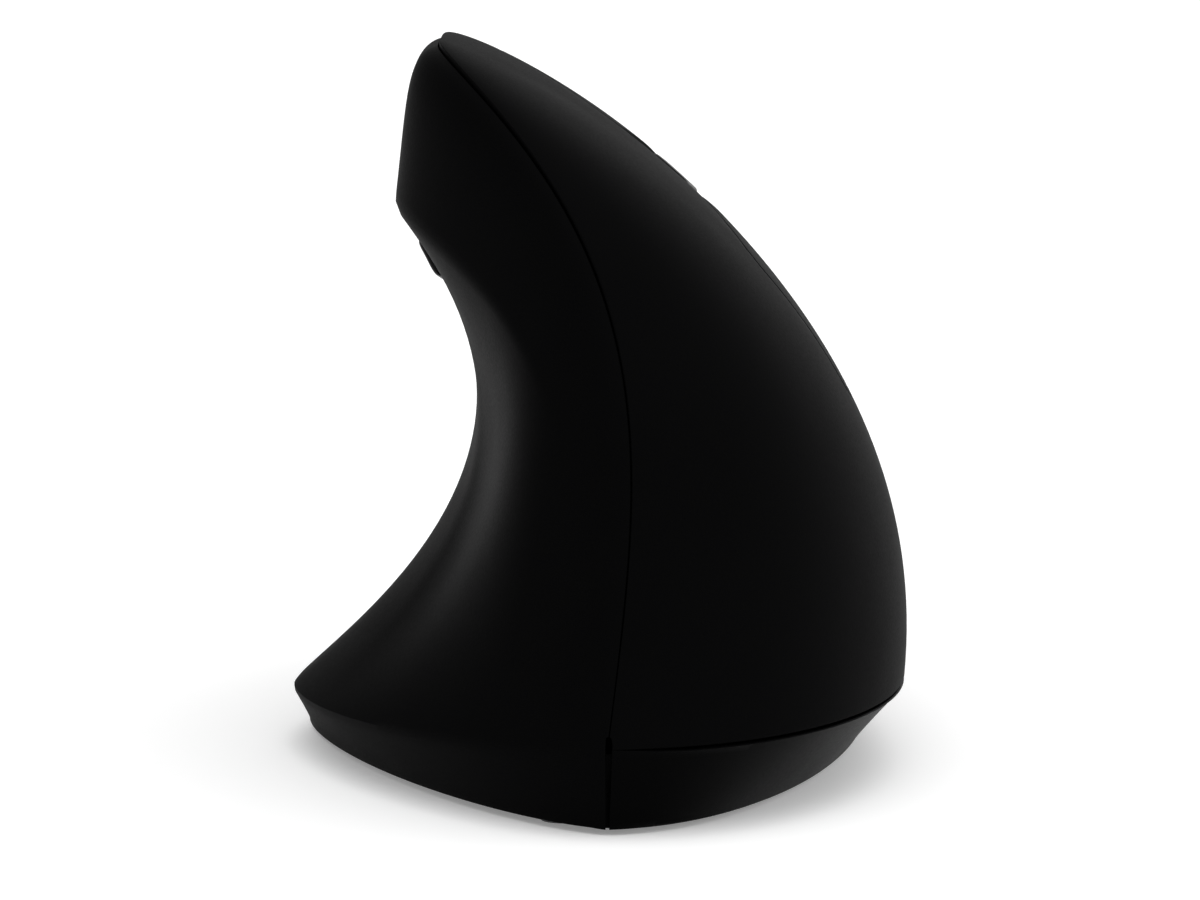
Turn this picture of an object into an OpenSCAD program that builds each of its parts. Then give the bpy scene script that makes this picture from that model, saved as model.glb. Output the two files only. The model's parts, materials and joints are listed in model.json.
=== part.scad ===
// Vertical ergonomic mouse, wireless, for the right hand.
// Millimetres. +X is the palm side, +Y the nose, +Z up, and the origin is on the desk under the middle.

/* [Overall size] */
// Length from the rear edge to the nose
length = 120; // [114:1:128]
// Height of the ridge over the desk
height = 74.2; // [71:0.2:78]
// Reach of the palm side to the right of the centre
palm_reach = 31.7; // [30.5:0.1:34]
// Reach of the thumb flange to the left of the centre
flange_reach = 31.9; // [30.5:0.1:35]
// Distance of the ridge's highest point from the rear edge
ridge_back = 44; // [41:1:47]

/* [Casing] */
// Thickness of the casing walls
wall = 2; // [1.6:0.1:2.3]
// Gap along the seams of the casing
seam_gap = 0.35; // [0.25:0.05:0.5]
// Step of the thumb shell below the palm shell along the ridge
seam_step = 0.5; // [0.2:0.1:0.7]
// Height of the palm shell's lower edge
strip_top = 9; // [8:0.5:10.5]
// Height of the thumb flange's edge at its widest
flange_top = 6; // [5:0.5:7.5]
// Sideways bow of the seam between its foot and the ridge
seam_bow = 8.3; // [7:0.1:9.5]
// Lean of the ridge to the left of the seam's foot
ridge_lean = 17.1; // [15.5:0.1:18.5]
// Place of the seam's foot to the right of the centre
seam_foot = 0.9; // [0:0.1:2]
// Depth of the overhang of the lip above the thumb hollow
lip_reach = 4.4; // [3.5:0.1:5]

/* [Base] */
// Height of the glide feet under the base
foot_h = 0.6; // [0.4:0.1:1]
// Thickness of the base's floor
floor_t = 2; // [1.6:0.1:2.4]
// Inset of the base's outline from each end of the casing
base_inset = 3; // [2:0.5:4]
// Reach of the base's outline to the right
base_right = 28.2; // [26:0.1:29]
// Reach of the base's outline to the left
base_left = 30.4; // [28.5:0.1:31]

/* [Finger face] */
// Tilt of the finger face from level
finger_tilt = 48; // [46:1:50]
// Droop of the fingers' direction along the finger face
finger_droop = 20; // [18:1:22]
// Width of the bezel between the click plates
bezel_w = 11; // [10.6:0.2:12]
// Depth of the bezel's face below the click plates
bezel_sunk = 0.8; // [0.5:0.1:1]
// Gap around the click plates, buttons and bezel
plate_gap = 0.4; // [0.3:0.05:0.5]
// Corner radius of the click plates
plate_r = 2.5; // [1.5:0.5:3.5]
// Radius of the pivot bar under each click plate
pivot_r = 1.2; // [1:0.1:1.4]
// Running clearance around a pivot, pin or axle
run_gap = 0.05; // [0.02:0.01:0.1]
// Free travel of the click plates at the switches
click_travel = 0.35; // [0.25:0.05:0.45]

/* [Scroll wheel] */
// Diameter over the tyre
wheel_d = 16.6; // [16:0.1:17]
// Width of the tyre
wheel_w = 5.8; // [5:0.1:6]
// Distance of the wheel behind the front edge of the finger face
wheel_back = 14.3; // [13.5:0.1:15]
// Height of the wheel's crown over the finger face
wheel_proud = 2; // [1.8:0.1:2.4]
// Thickness of the tyre
tyre_t = 2.2; // [1.8:0.1:2.6]
// Diameter of the steel axle
axle_d = 2.5; // [2:0.1:3]
// Travel of the wheel when it is pressed
wheel_travel = 0.5; // [0.3:0.1:0.6]

/* [Switch board] */
// Depth of the board's face below the middle of the finger face
board_depth = 13.5; // [13:0.1:14]
// Thickness of the circuit boards
board_t = 1.2; // [1:0.1:1.6]
// Length of a click switch
switch_l = 12.8; // [12:0.1:13]
// Width of a click switch
switch_w = 5.8; // [5.4:0.1:6]
// Height of a click switch without its plunger
switch_h = 6.5; // [6:0.1:6.8]
// Width of a push switch
tact_w = 4.4; // [4:0.1:4.6]
// Height of a push switch without its plunger
tact_h = 2.6; // [2.4:0.1:2.8]

/* [Buttons] */
// Length of each thumb button
thumb_l = 13.5; // [12:0.5:14]
// Width of each thumb button
thumb_w = 5; // [4.5:0.5:6]
// Height of the thumb buttons over the casing
thumb_proud = 2.2; // [1.8:0.1:2.4]
// Travel of the thumb and speed buttons
button_travel = 0.5; // [0.4:0.1:0.6]
// Length of the speed button
speed_l = 8; // [7:0.5:8.5]
// Width of the speed button
speed_w = 5; // [4:0.5:5.5]
// Height of the speed button over the bezel
speed_proud = 0.8; // [0.6:0.1:1.2]

/* [Power] */
// Diameter of a battery cell
cell_d = 10.4; // [10:0.1:10.5]
// Length of a battery cell with its nub
cell_l = 44.2; // [43.5:0.1:44.5]
// Clearance around each battery cell
cell_gap = 0.35; // [0.3:0.05:0.5]
// Thickness of the battery door
door_t = 1.6; // [1.4:0.1:1.8]
// Radius of the battery door's hinge pins
pin_r = 0.9; // [0.8:0.1:1]
// Width of the receiver
receiver_w = 14; // [12:0.5:15]
// Thickness of the receiver
receiver_t = 5.6; // [5:0.1:6]
// Length of the receiver with its plug
receiver_l = 18.5; // [17:0.5:20]
// Travel of the power slider
slider_travel = 3; // [2:0.5:3.5]

/* [Fasteners] */
// Diameter of the screw posts in the shells
post_d = 6; // [5.5:0.1:6.4]
// Diameter of the case screws
screw_d = 2; // [1.8:0.1:2.2]
// Diameter of the screw heads
head_d = 4.2; // [3.8:0.1:4.4]

/* [Hidden] */
$fn = 48;

// Ends of the casing and the place of its highest point
rear_y = -length / 2;
front_y = length / 2;
ridge_y = rear_y + ridge_back;

// Bluntness of the nose, the fall of the ridge towards it, and the sharpness of the ridge's lean
nose_power = 3.33;
nose_fall = 1.4;
lean_power = 3.5;

// Fullest places of the palm side, the flange and the two sides of the base
palm_mid = -14;
flange_mid = -5;
base_right_mid = 5.8;
base_left_mid = 2.7;

// Rows and columns of the casing's faceted skins
stations = 36;
palm_columns = 15;
thumb_columns = 16;
first_station = 1;
last_station = 179;

function mix(a, b, t) = a + (b - a) * t;
function ease(a, b, x) = let (t = min(1, max(0, (x - a) / (b - a)))) t * t * (3 - 2 * t);
function unit(p) = p / norm(p);
function steps(a, b, n) = [for (i = [0:n]) mix(a, b, i / n)];
function bezier(a, b, c, d, t) =
    pow(1 - t, 3) * a + 3 * t * pow(1 - t, 2) * b + 3 * t * t * (1 - t) * c + t * t * t * d;
function bisect(too_far, low, high, n = 24) =
    let (m = (low + high) / 2)
    n == 0 ? m : too_far(m) ? bisect(too_far, low, m, n - 1) : bisect(too_far, m, high, n - 1);

// The skin is cut into stations, from 0 at the rear edge over 90 at the highest point to 180 at the nose
function station_y(f) = ridge_y - (f <= 90 ? ridge_y - rear_y : front_y - ridge_y) * cos(f);
function station_at(y) =
    y <= ridge_y ? acos((ridge_y - y) / (ridge_y - rear_y))
    : 180 - acos((y - ridge_y) / (front_y - ridge_y));
function rise(f) = f <= 90 ? sin(f) : sqrt(max(0, 1 - pow(-cos(f), nose_power)));
function swell(y, mid, blunt, round) =
    let (q = (y - mid) / ((y < mid ? rear_y : front_y) - mid))
    pow(max(0, 1 - pow(min(1, abs(q)), blunt)), 1 / round);

// The seam over the ridge, and the lower edges of the casing and of the base
function seam(f) =
    let (k = pow(rise(f), f <= 90 ? 1 : nose_fall), turn = pow(k, lean_power))
    [seam_foot + seam_bow * (k - turn) - ridge_lean * turn, station_y(f), mix(strip_top, height, k)];
function palm_foot(f) =
    let (y = station_y(f))
    [mix(seam_foot, palm_reach, swell(y, palm_mid, 2, 2)), y, strip_top];
function flange_edge(f) =
    let (y = station_y(f), k = swell(y, flange_mid, 1.6, 1.4))
    [mix(seam_foot, -flange_reach, k), y, mix(strip_top, flange_top, k)];
function base_y(f) = station_y(f) * (1 - base_inset / front_y);
function base_edge_right(f) =
    [mix(seam_foot, base_right, swell(station_y(f), base_right_mid, 1.6, 1.88)), base_y(f), foot_h];
function base_edge_left(f) =
    [mix(seam_foot, -base_left, swell(station_y(f), base_left_mid, 1.42, 1.39)), base_y(f), foot_h];

// Palm side: one sweep at each station, from the seam (v 0) to the lower edge (v 1)
function palm_point(f, v) =
    let (s = rise(f), a = seam(f), d = palm_foot(f), w = d[0] - a[0], h = a[2] - d[2])
    bezier(a, a + [w * (0.55 - 0.49 * s * s), 0, 0.2 * s * s], d + [4 * s, 0, 0.656 * h], d, v)
    + [seam_gap / 2 * pow(1 - v, 2), 0, 0];

// Thumb side: from the seam (u 0) over the lip and the hollow to the flange's edge (u 1) and the base (u 2)
lip_u = 0.38;
function thumb_rear_form(a, d, s, u) =
    let (w = a[0] - d[0], h = a[2] - d[2])
    bezier(a, a - [w * (0.55 - 0.30 * s), 0, 0], d + [0.42 * w * s, 0, 0.30 * h], d, u);
function hollow_form(a, d, s, u) =
    let (drop = 0.7515 * (a[2] - d[2]), lip = [a[0] - lip_reach * s, a[1], d[2] + drop])
    bezier(lip, lip + drop * [0.413, 0, -0.51], d + drop * [0.12, 0, 0.119], d, (u - lip_u) / (1 - lip_u));
function thumb_front_form(a, d, s, u) =
    let (h = a[2] - d[2], lip = hollow_form(a, d, s, lip_u))
    u > lip_u
    ? hollow_form(a, d, s, u)
    : bezier(a, a - [3.15 * s, 0, 1.05], lip + [1.35 * s, 0, 0.16 * h], lip, u / lip_u);
function thumb_point(f, u) =
    let (s = rise(f), a = seam(f), d = flange_edge(f), turn = ease(35, 85, f) * (1 - ease(136, 170, f)))
    u > 1
    ? mix(d, base_edge_left(f), u - 1)
    : mix(thumb_rear_form(a, d, s, u), thumb_front_form(a, d, s, u), turn)
      - [seam_gap / 2 * pow(1 - u, 2), 0, seam_step * s * s * pow(max(0, 1 - u / 0.25), 2)];

// The hollow alone, carried on smoothly past the lip, for the buttons that sit in it
function hollow_point(f, u) =
    hollow_form(seam(f), flange_edge(f), rise(f), u) - [seam_gap / 2 * pow(1 - u, 2), 0, 0];

// The strip of the base that shows under the palm shell, from its top edge (t 0) to the bottom (t 1)
function strip_point(f, t) = mix(palm_foot(f) - [0, 0, seam_gap], base_edge_right(f), t);

// Outward directions of the three skins; both shells share one direction along the seam
function before(f) = max(0.2, f - 2);
function after(f) = min(179.8, f + 2);
function near_pole(f, n) = unit(mix([0, f < 90 ? -1 : 1, 0], n, ease(0, 14, min(f, 180 - f))));
function seam_normal(f) = let (t = seam(after(f)) - seam(before(f))) unit([0, -t[2], t[1]]);
function palm_normal(f, v) =
    let (e = 0.03, down = palm_point(f, v + e) - palm_point(f, v - e))
    let (across = palm_point(after(f), v) - palm_point(before(f), v))
    near_pole(f, unit(mix(seam_normal(f), unit(cross(down, across)), ease(0, 0.3, v))));
function thumb_face(f, u, a, b) =
    unit(cross(thumb_point(after(f), u) - thumb_point(before(f), u),
               thumb_point(f, b) - thumb_point(f, a)));
function thumb_normal(f, u) =
    let (e = 0.05)
    near_pole(f,
        u == 1 ? unit(thumb_face(f, 0.94, 0.88, 1) + thumb_face(f, 1.5, 1, 2))
        : u > 1 ? thumb_face(f, u, 1, 2)
        : unit(mix(seam_normal(f), thumb_face(f, u, u - e, min(1, u + e)), ease(0, 0.15, u))));
function hollow_normal(f, u) =
    let (e = 0.02, down = hollow_point(f, u + e) - hollow_point(f, u - e))
    unit(cross(hollow_point(after(f), u) - hollow_point(before(f), u), down));
function strip_normal(f) =
    let (along = strip_point(after(f), 0.5) - strip_point(before(f), 0.5))
    near_pole(f, unit([along[1], -along[0], 0]));

// Closed shell between an outer and an inner grid of points, each a list of rows
module grid_shell(outer, inner) {
    rows = len(outer);
    cols = len(outer[0]);
    half = rows * cols;
    points = concat([for (r = outer) each r], [for (r = inner) each r]);
    cells = [for (i = [0:rows - 2], j = [0:cols - 2])
        [i * cols + j, i * cols + j + 1, (i + 1) * cols + j + 1, (i + 1) * cols + j]];
    outside = [for (q = cells) each [[q[0], q[3], q[2]], [q[0], q[2], q[1]]]];
    inside = [for (q = cells) each
        [[q[0], q[1], q[2]] + half * [1, 1, 1], [q[0], q[2], q[3]] + half * [1, 1, 1]]];
    edges = concat(
        [for (i = [0:rows - 2]) [(i + 1) * cols, i * cols]],
        [for (i = [0:rows - 2]) [i * cols + cols - 1, (i + 1) * cols + cols - 1]],
        [for (j = [0:cols - 2]) [j, j + 1]],
        [for (j = [0:cols - 2]) [(rows - 1) * cols + j + 1, (rows - 1) * cols + j]]
    );
    rim = [for (e = edges) each [[e[0], e[1], e[1] + half], [e[0], e[1] + half, e[0] + half]]];
    polyhedron(points, concat(outside, inside, rim));
}

// Patches of the skins, sunk below the face and of a given thickness
module palm_skin(fs, vs, sunk = 0, thick = wall)
    grid_shell(
        [for (f = fs) [for (v = vs) palm_point(f, v) - sunk * palm_normal(f, v)]],
        [for (f = fs) [for (v = vs) palm_point(f, v) - (sunk + thick) * palm_normal(f, v)]]);
module thumb_skin(fs, us)
    grid_shell(
        [for (f = fs) [for (u = us) thumb_point(f, u)]],
        [for (f = fs) [for (u = us) thumb_point(f, u) - wall * thumb_normal(f, u)]]);
module hollow_skin(fs, us, sunk, thick)
    grid_shell(
        [for (f = fs) [for (u = us) hollow_point(f, u) - sunk * hollow_normal(f, u)]],
        [for (f = fs) [for (u = us) hollow_point(f, u) - (sunk + thick) * hollow_normal(f, u)]]);
all_stations = steps(first_station, last_station, stations);

// Finger frame: its origin is the middle of the finger face,
// x runs down across the fingers, y along the fingers to the nose, and z out of the face
middle_v = 0.5;
seat = palm_point(station_at((front_y + ridge_y) / 2), middle_v);
across = [cos(finger_tilt), 0, -sin(finger_tilt)];
finger_x = cos(finger_droop) * across - [0, sin(finger_droop), 0];
finger_y = sin(finger_droop) * across + [0, cos(finger_droop), 0];
finger_z = [sin(finger_tilt), 0, cos(finger_tilt)];
function to_finger(p) = let (d = p - seat) [d * finger_x, d * finger_y, d * finger_z];
function from_finger(q) = seat + q[0] * finger_x + q[1] * finger_y + q[2] * finger_z;
module finger_frame() translate(seat) rotate([0, finger_tilt, 0]) rotate([0, 0, -finger_droop]) children();

// Height of a skin in the finger frame over the place (x, y), by Newton steps along the skin
function newton(skin, x, y, f, v, n) =
    let (p = to_finger(skin(f, v)),
         a = to_finger(skin(f + 0.5, v)) - p, b = to_finger(skin(f, v + 0.005)) - p,
         det = a[0] * b[1] - a[1] * b[0], ex = x - p[0], ey = y - p[1])
    n == 0 ? p[2]
    : newton(skin, x, y, f + 0.5 * (ex * b[1] - ey * b[0]) / det,
             v + 0.005 * (a[0] * ey - a[1] * ex) / det, n - 1);
function palm_height(x, y) = newton(function (f, v) palm_point(f, v), x, y, 112, 0.5, 12);
function hollow_height(x, y) = newton(function (f, v) hollow_point(f, v), x, y, 115, 0.44, 10);

// Opening of the palm shell for the click plates and the bezel, seen along the finger frame's z
window_top = 0.14;
window_bottom = 0.745;
window_front = 146;
window_rear = 100;
window_slant = 9;
window_back = 13;
window_rows = 8;
// Station of the window's rear edge: it leans forwards over the bezel and runs farther back under it
function window_rear_at(v) =
    window_rear + window_slant * (1 - ease(window_top, 0.55, v)) - window_back * ease(0.5, 0.6, v);
window_rear_rows = concat(steps(window_bottom, 0.62, 3), steps(0.6, 0.48, 6), steps(0.42, window_top, 4));
function flat_point(f, v) = let (q = to_finger(palm_point(f, v))) [q[0], q[1]];
low_v = 0.62;
rear_edge = flat_point(window_rear_at(middle_v), middle_v)[1];
low_rear_edge = flat_point(window_rear_at(low_v), low_v)[1];
front_edge = flat_point(window_front, middle_v)[1];
window_outline = concat(
    [for (t = steps(0, 1, window_rows))
        flat_point(mix(window_rear_at(window_top), window_front, t), window_top)],
    [for (v = steps(window_top, window_bottom, window_rows)) flat_point(window_front, v)],
    [for (t = steps(0, 1, window_rows))
        flat_point(mix(window_front, window_rear_at(window_bottom), t), window_bottom)],
    [for (v = window_rear_rows) flat_point(window_rear_at(v), v)]
);
far = 80;
module window_flat(gap)
    offset(r = plate_r, $fn = 24) offset(delta = -plate_r - gap) polygon(window_outline);
module beside_bezel(side)
    translate([side < 0 ? -far - bezel_w / 2 - plate_gap : bezel_w / 2 + plate_gap, -far])
        square([far, 2 * far]);
module through_face() finger_frame() translate([0, 0, -34]) linear_extrude(54) children();

// Stations and columns of the skin patch that the click plates and the bezel are cut from
plate_stations = steps(window_rear - window_back - 5, window_front + 5, 18);
plate_columns = steps(window_top - 0.08, window_bottom + 0.06, 10);

// Click plates: a pivot bar under the rear edge, and a peg over the switch
hinge_in = 4.5;
index_x = -9.5;
middle_x = 14;
peg_y = -3;
peg_d = 3;
pivot_l = 10;
ear_w = 4.4;
lug_w = 2;
lug_back = 9.5;
function plate_under(x, y) = palm_height(x, y) - wall;
// Middle of each pivot bar in the finger frame: across the fingers, along them, and out of the face
pivot_drop = 3.2;
function pivot_at(x, y) =
    [x, y, min(plate_under(x - pivot_l / 2, y), plate_under(x + pivot_l / 2, y)) - pivot_drop];
index_pivot = pivot_at(-13.5, rear_edge + hinge_in);
middle_pivot = pivot_at(20, low_rear_edge + hinge_in);
plunger_h = 0.8;
plunger_top = -board_depth + switch_h + plunger_h;
module click_plate(side, x, pivot) {
    intersection() {
        palm_skin(plate_stations, plate_columns);
        through_face() offset(r = 1, $fn = 24) offset(delta = -1) intersection() {
            window_flat(plate_gap);
            beside_bezel(side);
        }
    }
    finger_frame() {
        // Peg that presses the switch
        peg_foot = plunger_top + click_travel + 0.05;
        translate([x, peg_y, peg_foot])
            cylinder(d = peg_d, h = palm_height(x, peg_y) - wall / 2 - peg_foot);
        // Ear and pivot bar
        ear_top = min([for (dx = [-1, 1]) palm_height(pivot[0] + dx * ear_w / 2, pivot[1])]) - wall / 2;
        translate(pivot - [ear_w / 2, pivot_r, 0]) cube([ear_w, 2 * pivot_r, ear_top - pivot[2]]);
        translate(pivot - [pivot_l / 2, 0, 0]) rotate([0, 90, 0]) cylinder(r = pivot_r, h = pivot_l);
    }
}
// Pair of bored lugs under the rear edge of the window that carry a pivot bar
module pivot_lugs(pivot) {
    reach = pivot_r + 1.1;
    riser = 4.5;
    finger_frame() for (side = [-1, 1]) {
        x = pivot[0] + side * (pivot_l / 2 - lug_w / 2);
        back = pivot[1] - lug_back;
        top = min([for (dx = [-1, 1], dy = [0, riser])
            palm_height(x + dx * lug_w / 2, back + dy)]) - wall / 3;
        difference() {
            union() {
                translate([x - lug_w / 2, back, pivot[2] - reach])
                    cube([lug_w, lug_back, 2 * reach]);
                translate([x - lug_w / 2, pivot[1], pivot[2]]) rotate([0, 90, 0])
                    cylinder(r = reach, h = lug_w);
                translate([x - lug_w / 2, back, pivot[2] - reach])
                    cube([lug_w, riser, top - pivot[2] + reach]);
            }
            translate([x - lug_w, pivot[1], pivot[2]]) rotate([0, 90, 0])
                cylinder(r = pivot_r + run_gap, h = 2 * lug_w);
        }
    }
}

// Battery box and door; the inside is laid out about the middle of the mouse, whatever its length
box_wall = 1.2;
floor_top = foot_h + floor_t;
bay_x = 0.8;
bay_rear = -38.5;
bay_w = 2 * (cell_d + 2 * cell_gap);
contact_t = 0.4;
contact_nub = 0.5;
bay_l = cell_l + 2 * (contact_t + contact_nub + 0.1);
bay_front = bay_rear + bay_l;
door_gap = 0.3;
hinge_z = foot_h + 1.9;
knuckle_r = 1.5;
cell_z = hinge_z + knuckle_r + door_gap + cell_d / 2;
bay_top = cell_z + cell_d / 2 + cell_gap;
door_front = bay_front - knuckle_r - door_gap;
// Length over which the door's outer face rises to its knuckle, so that it clears the bay as it swings
door_ease = 1.2;

// Receiver pocket
receiver_x = bay_x + bay_w / 2 + box_wall + 1.2 + receiver_t / 2 + 0.5;
receiver_y = -6;
receiver_gap = 0.3;
receiver_top = foot_h + 0.2 + receiver_l;
plug_w = 12;
plug_t = 4.5;
plug_l = 12;

// Posts of the shells with their screws: x, y, top of the base's tube and top of the post
post_r = post_d / 2;
tube_r = post_r + 0.5;
function palm_x_at(y, z) =
    let (f = station_at(y), v = bisect(function (m) palm_point(f, m)[2] < z, 0, 1)) palm_point(f, v)[0];
function flange_z_at(x, y) =
    let (f = station_at(y), u = bisect(function (m) thumb_point(f, m)[0] < x, 0.6, 1)) thumb_point(f, u)[2];
palm_posts = [for (p = [[-24, 43], [27, 31]])
    [palm_x_at(p[0], p[1]) - wall / 2 - post_r, p[0], 12, p[1]]];
thumb_posts = [for (p = [[-15.5, -26], [-17, 2]])
    [p[0], p[1], 8, flange_z_at(p[0] - post_r, p[1]) - wall / 2]];
all_posts = concat(palm_posts, thumb_posts);
thread_l = 8;
function screw_reach(p) = min(thread_l, p[3] - p[2] - wall - 0.6);
module shell_posts(posts)
    for (p = posts) translate([p[0], p[1], p[2] + seam_gap]) difference() {
        cylinder(r = post_r, h = p[3] - p[2] - seam_gap);
        translate([0, 0, -1]) cylinder(d = screw_d + 0.2, h = screw_reach(p) + 1.2);
    }

// Main board in the front half of the base
main_x0 = -12;
main_x1 = 4.5;
main_y0 = bay_front + box_wall + 3;
main_y1 = main_y0 + 29.1;
main_z = floor_top + 5.4;
main_post_d = 4;
main_holes = [
    [main_x0 + 2.5, main_y0 + 2.5], [main_x1 - 2.5, main_y0 + 2.5], [main_x1 - 2.5, main_y1 - 2.5]];
main_outline = [
    [main_x0, main_y0], [main_x1, main_y0], [main_x1, main_y1], [main_x0 + 5, main_y1], [main_x0, main_y1 - 8]];
pilot_d = 1.5;
sensor_x = -4.2;
sensor_y = main_y0 + 11;
slider_x = -4.2;
slider_y = sensor_y + 9.6;
slider_w = 3.4;
slider_l = 4.4;

// Inner frame that carries the switch board on two legs
frame_x = [16.4, 22.8];
frame_y = [-7, 12];
frame_t = 2;
frame_leg = 5;
frame_legs = [-3, 9];
board_under = -board_depth - board_t;
frame_foot = [[6.2, 9.6], [15, 31.6]];
frame_bosses = [[10.8, 17.5], [10.8, 28.9]];
frame_boss_h = 2;
board_holes = [[19.6, -4], [19.6, 9]];

// Switch board outline in the finger frame, and the wheel's slot in it
board_outline = [
    [-12.8, -19], [23, -19], [23, 10.5], [16, 15.5], [-6.6, 15.5], [-6.6, 10], [-11, 3], [-12.8, 0]];

// Axle of the wheel, square below its place on the finger face
wheel_at = front_edge - wheel_back;
face_slope = (palm_height(0, wheel_at + 1) - palm_height(0, wheel_at - 1)) / 2;
face_out = unit([-face_slope, 1]);
axle_y = wheel_at - (wheel_d / 2 - wheel_proud) * face_out[0];
axle_z = palm_height(0, wheel_at) - (wheel_d / 2 - wheel_proud) * face_out[1];
slot_side = 0.6;
slot_end = 0.7;
function wheel_chord(z) = sqrt(max(0, pow(wheel_d / 2, 2) - pow(z - axle_z, 2)));

module base_floor() {
    right = [for (f = all_stations)
        let (t = base_edge_right(after(f)) - base_edge_right(before(f)), n = unit([-t[1], t[0]]))
        [base_edge_right(f)[0], base_edge_right(f)[1]] + 0.5 * n];
    left = [for (f = all_stations)
        let (t = base_edge_left(after(f)) - base_edge_left(before(f)), n = unit([t[1], -t[0]]))
        [base_edge_left(f)[0], base_edge_left(f)[1]] + (wall * 1.15 + seam_gap) * n];
    translate([0, 0, foot_h]) linear_extrude(floor_t)
        polygon(concat(right, [for (i = [len(left) - 1:-1:0]) left[i]]));
}

module base_tray() color([0.06, 0.06, 0.065]) difference() {
    union() {
        base_floor();
        grid_shell(
            [for (f = all_stations) [for (t = [0, 0.5, 1]) strip_point(f, t)]],
            [for (f = all_stations) [for (t = [0, 0.5, 1]) strip_point(f, t) - wall * strip_normal(f)]]);
        // Battery box
        translate([bay_x - bay_w / 2 - box_wall, bay_rear - box_wall, foot_h])
            cube([bay_w + 2 * box_wall, bay_l + 2 * box_wall, bay_top + box_wall - foot_h]);
        // Receiver pocket
        translate([receiver_x - receiver_t / 2 - receiver_gap - 1.2,
                   receiver_y - receiver_w / 2 - receiver_gap - 1.2, foot_h])
            cube([receiver_t + 2 * receiver_gap + 2.4, receiver_w + 2 * receiver_gap + 2.4,
                  receiver_top + receiver_gap + 1.2 - foot_h]);
        // Tubes for the case screws
        for (p = all_posts) translate([p[0], p[1], foot_h]) cylinder(r = tube_r, h = p[2] - foot_h);
        // Posts under the main board and bosses under the inner frame
        for (p = main_holes) translate([p[0], p[1], foot_h]) cylinder(d = main_post_d, h = main_z - foot_h);
        for (p = frame_bosses) translate([p[0], p[1], foot_h])
            cylinder(d = 5, h = floor_top + frame_boss_h - foot_h);
    }
    // Battery bay, open to the underside
    translate([bay_x - bay_w / 2, bay_rear, foot_h - 1]) cube([bay_w, bay_l, bay_top - foot_h + 1]);
    // Holes for the door's hinge pins
    translate([bay_x - bay_w / 2 - box_wall - 1, door_front, hinge_z]) rotate([0, 90, 0])
        cylinder(r = pin_r + run_gap, h = bay_w + 2 * box_wall + 2);
    // Receiver pocket's inside
    translate([receiver_x - receiver_t / 2 - receiver_gap,
               receiver_y - receiver_w / 2 - receiver_gap, foot_h - 1])
        cube([receiver_t + 2 * receiver_gap, receiver_w + 2 * receiver_gap,
              receiver_top + receiver_gap - foot_h + 1]);
    // Screw holes with recesses for the heads
    for (p = all_posts) translate([p[0], p[1], foot_h - 1]) {
        cylinder(d = screw_d + 0.6, h = p[2] + 1);
        cylinder(d = head_d + 0.6, h = 1 + 2.4);
    }
    // Pilot holes for the board and frame screws
    for (p = main_holes) translate([p[0], p[1], main_z - 4]) cylinder(d = pilot_d, h = 5);
    for (p = frame_bosses) translate([p[0], p[1], floor_top - 0.8]) cylinder(d = pilot_d, h = 5);
    // Window of the sensor and slot of the power slider
    translate([sensor_x, sensor_y, foot_h - 1]) cylinder(d = 9, h = floor_t + 2);
    translate([slider_x - slider_w / 2 - 0.3, slider_y - slider_l / 2 - 0.3, foot_h - 1])
        cube([slider_w + 0.6, slider_l + slider_travel + 0.6, floor_t + 2]);
}

// Opening of the thumb shell around the two thumb buttons, in the finger frame
thumb_x = -8.5;
thumb_rear_y = -24.5;
thumb_split = 0.8;
button_gap = 0.35;
thumb_depth = -30;
module thumb_cap_flat(y0, grow, r)
    translate([thumb_x, y0 + thumb_l / 2]) offset(r = r, $fn = 24)
        square([thumb_w + 2 * grow - 2 * r, thumb_l + 2 * grow - 2 * r], center = true);
module through_thumb() finger_frame() translate([0, 0, thumb_depth]) linear_extrude(14) children();
forward_y0 = thumb_rear_y + thumb_l + thumb_split;

module thumb_shell() color([0.035, 0.035, 0.038]) {
    difference() {
        thumb_skin(all_stations, concat([2, 1.5, 1.2], steps(1, 0, thumb_columns)));
        through_thumb() translate([thumb_x - thumb_w / 2 - plate_gap, thumb_rear_y - plate_gap])
            square([thumb_w + 2 * plate_gap, 2 * thumb_l + thumb_split + 2 * plate_gap]);
    }
    shell_posts(thumb_posts);
}

module palm_shell() color([0.045, 0.045, 0.048]) {
    difference() {
        palm_skin(all_stations,
                  concat(steps(0, 1 - 1 / palm_columns, palm_columns - 1), [1 - 0.5 / palm_columns, 1]));
        through_face() window_flat(0);
    }
    pivot_lugs(index_pivot);
    pivot_lugs(middle_pivot);
    shell_posts(palm_posts);
}

module index_button() color([0.05, 0.05, 0.053]) click_plate(-1, index_x, index_pivot);
module middle_button() color([0.05, 0.05, 0.053]) click_plate(1, middle_x, middle_pivot);

// Speed button, indicator light and legs of the bezel, along the fingers
speed_in = 8.6;
speed_y = rear_edge + speed_in;
light_y = speed_y + speed_l / 2 + 1.5;
light_d = 1.6;
leg_d = 2.6;
bezel_t = 1.6;
slot_rear = axle_y - 0.8 * wheel_d / 2 - slot_end;
slot_front = axle_y + wheel_d / 2 + slot_end;
leg_side = bezel_w / 2 - leg_d / 2 - 0.1;
bezel_legs = [[leg_side, light_y + 2.4], [-leg_side, light_y + 2.4], [0, slot_rear - 4.3]];
tongue_w = 6;
tongue_t = 0.9;
module speed_flat(grow)
    translate([0, speed_y]) offset(r = 1.5, $fn = 24)
        square([speed_w + 2 * grow - 3, speed_l + 2 * grow - 3], center = true);

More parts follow.
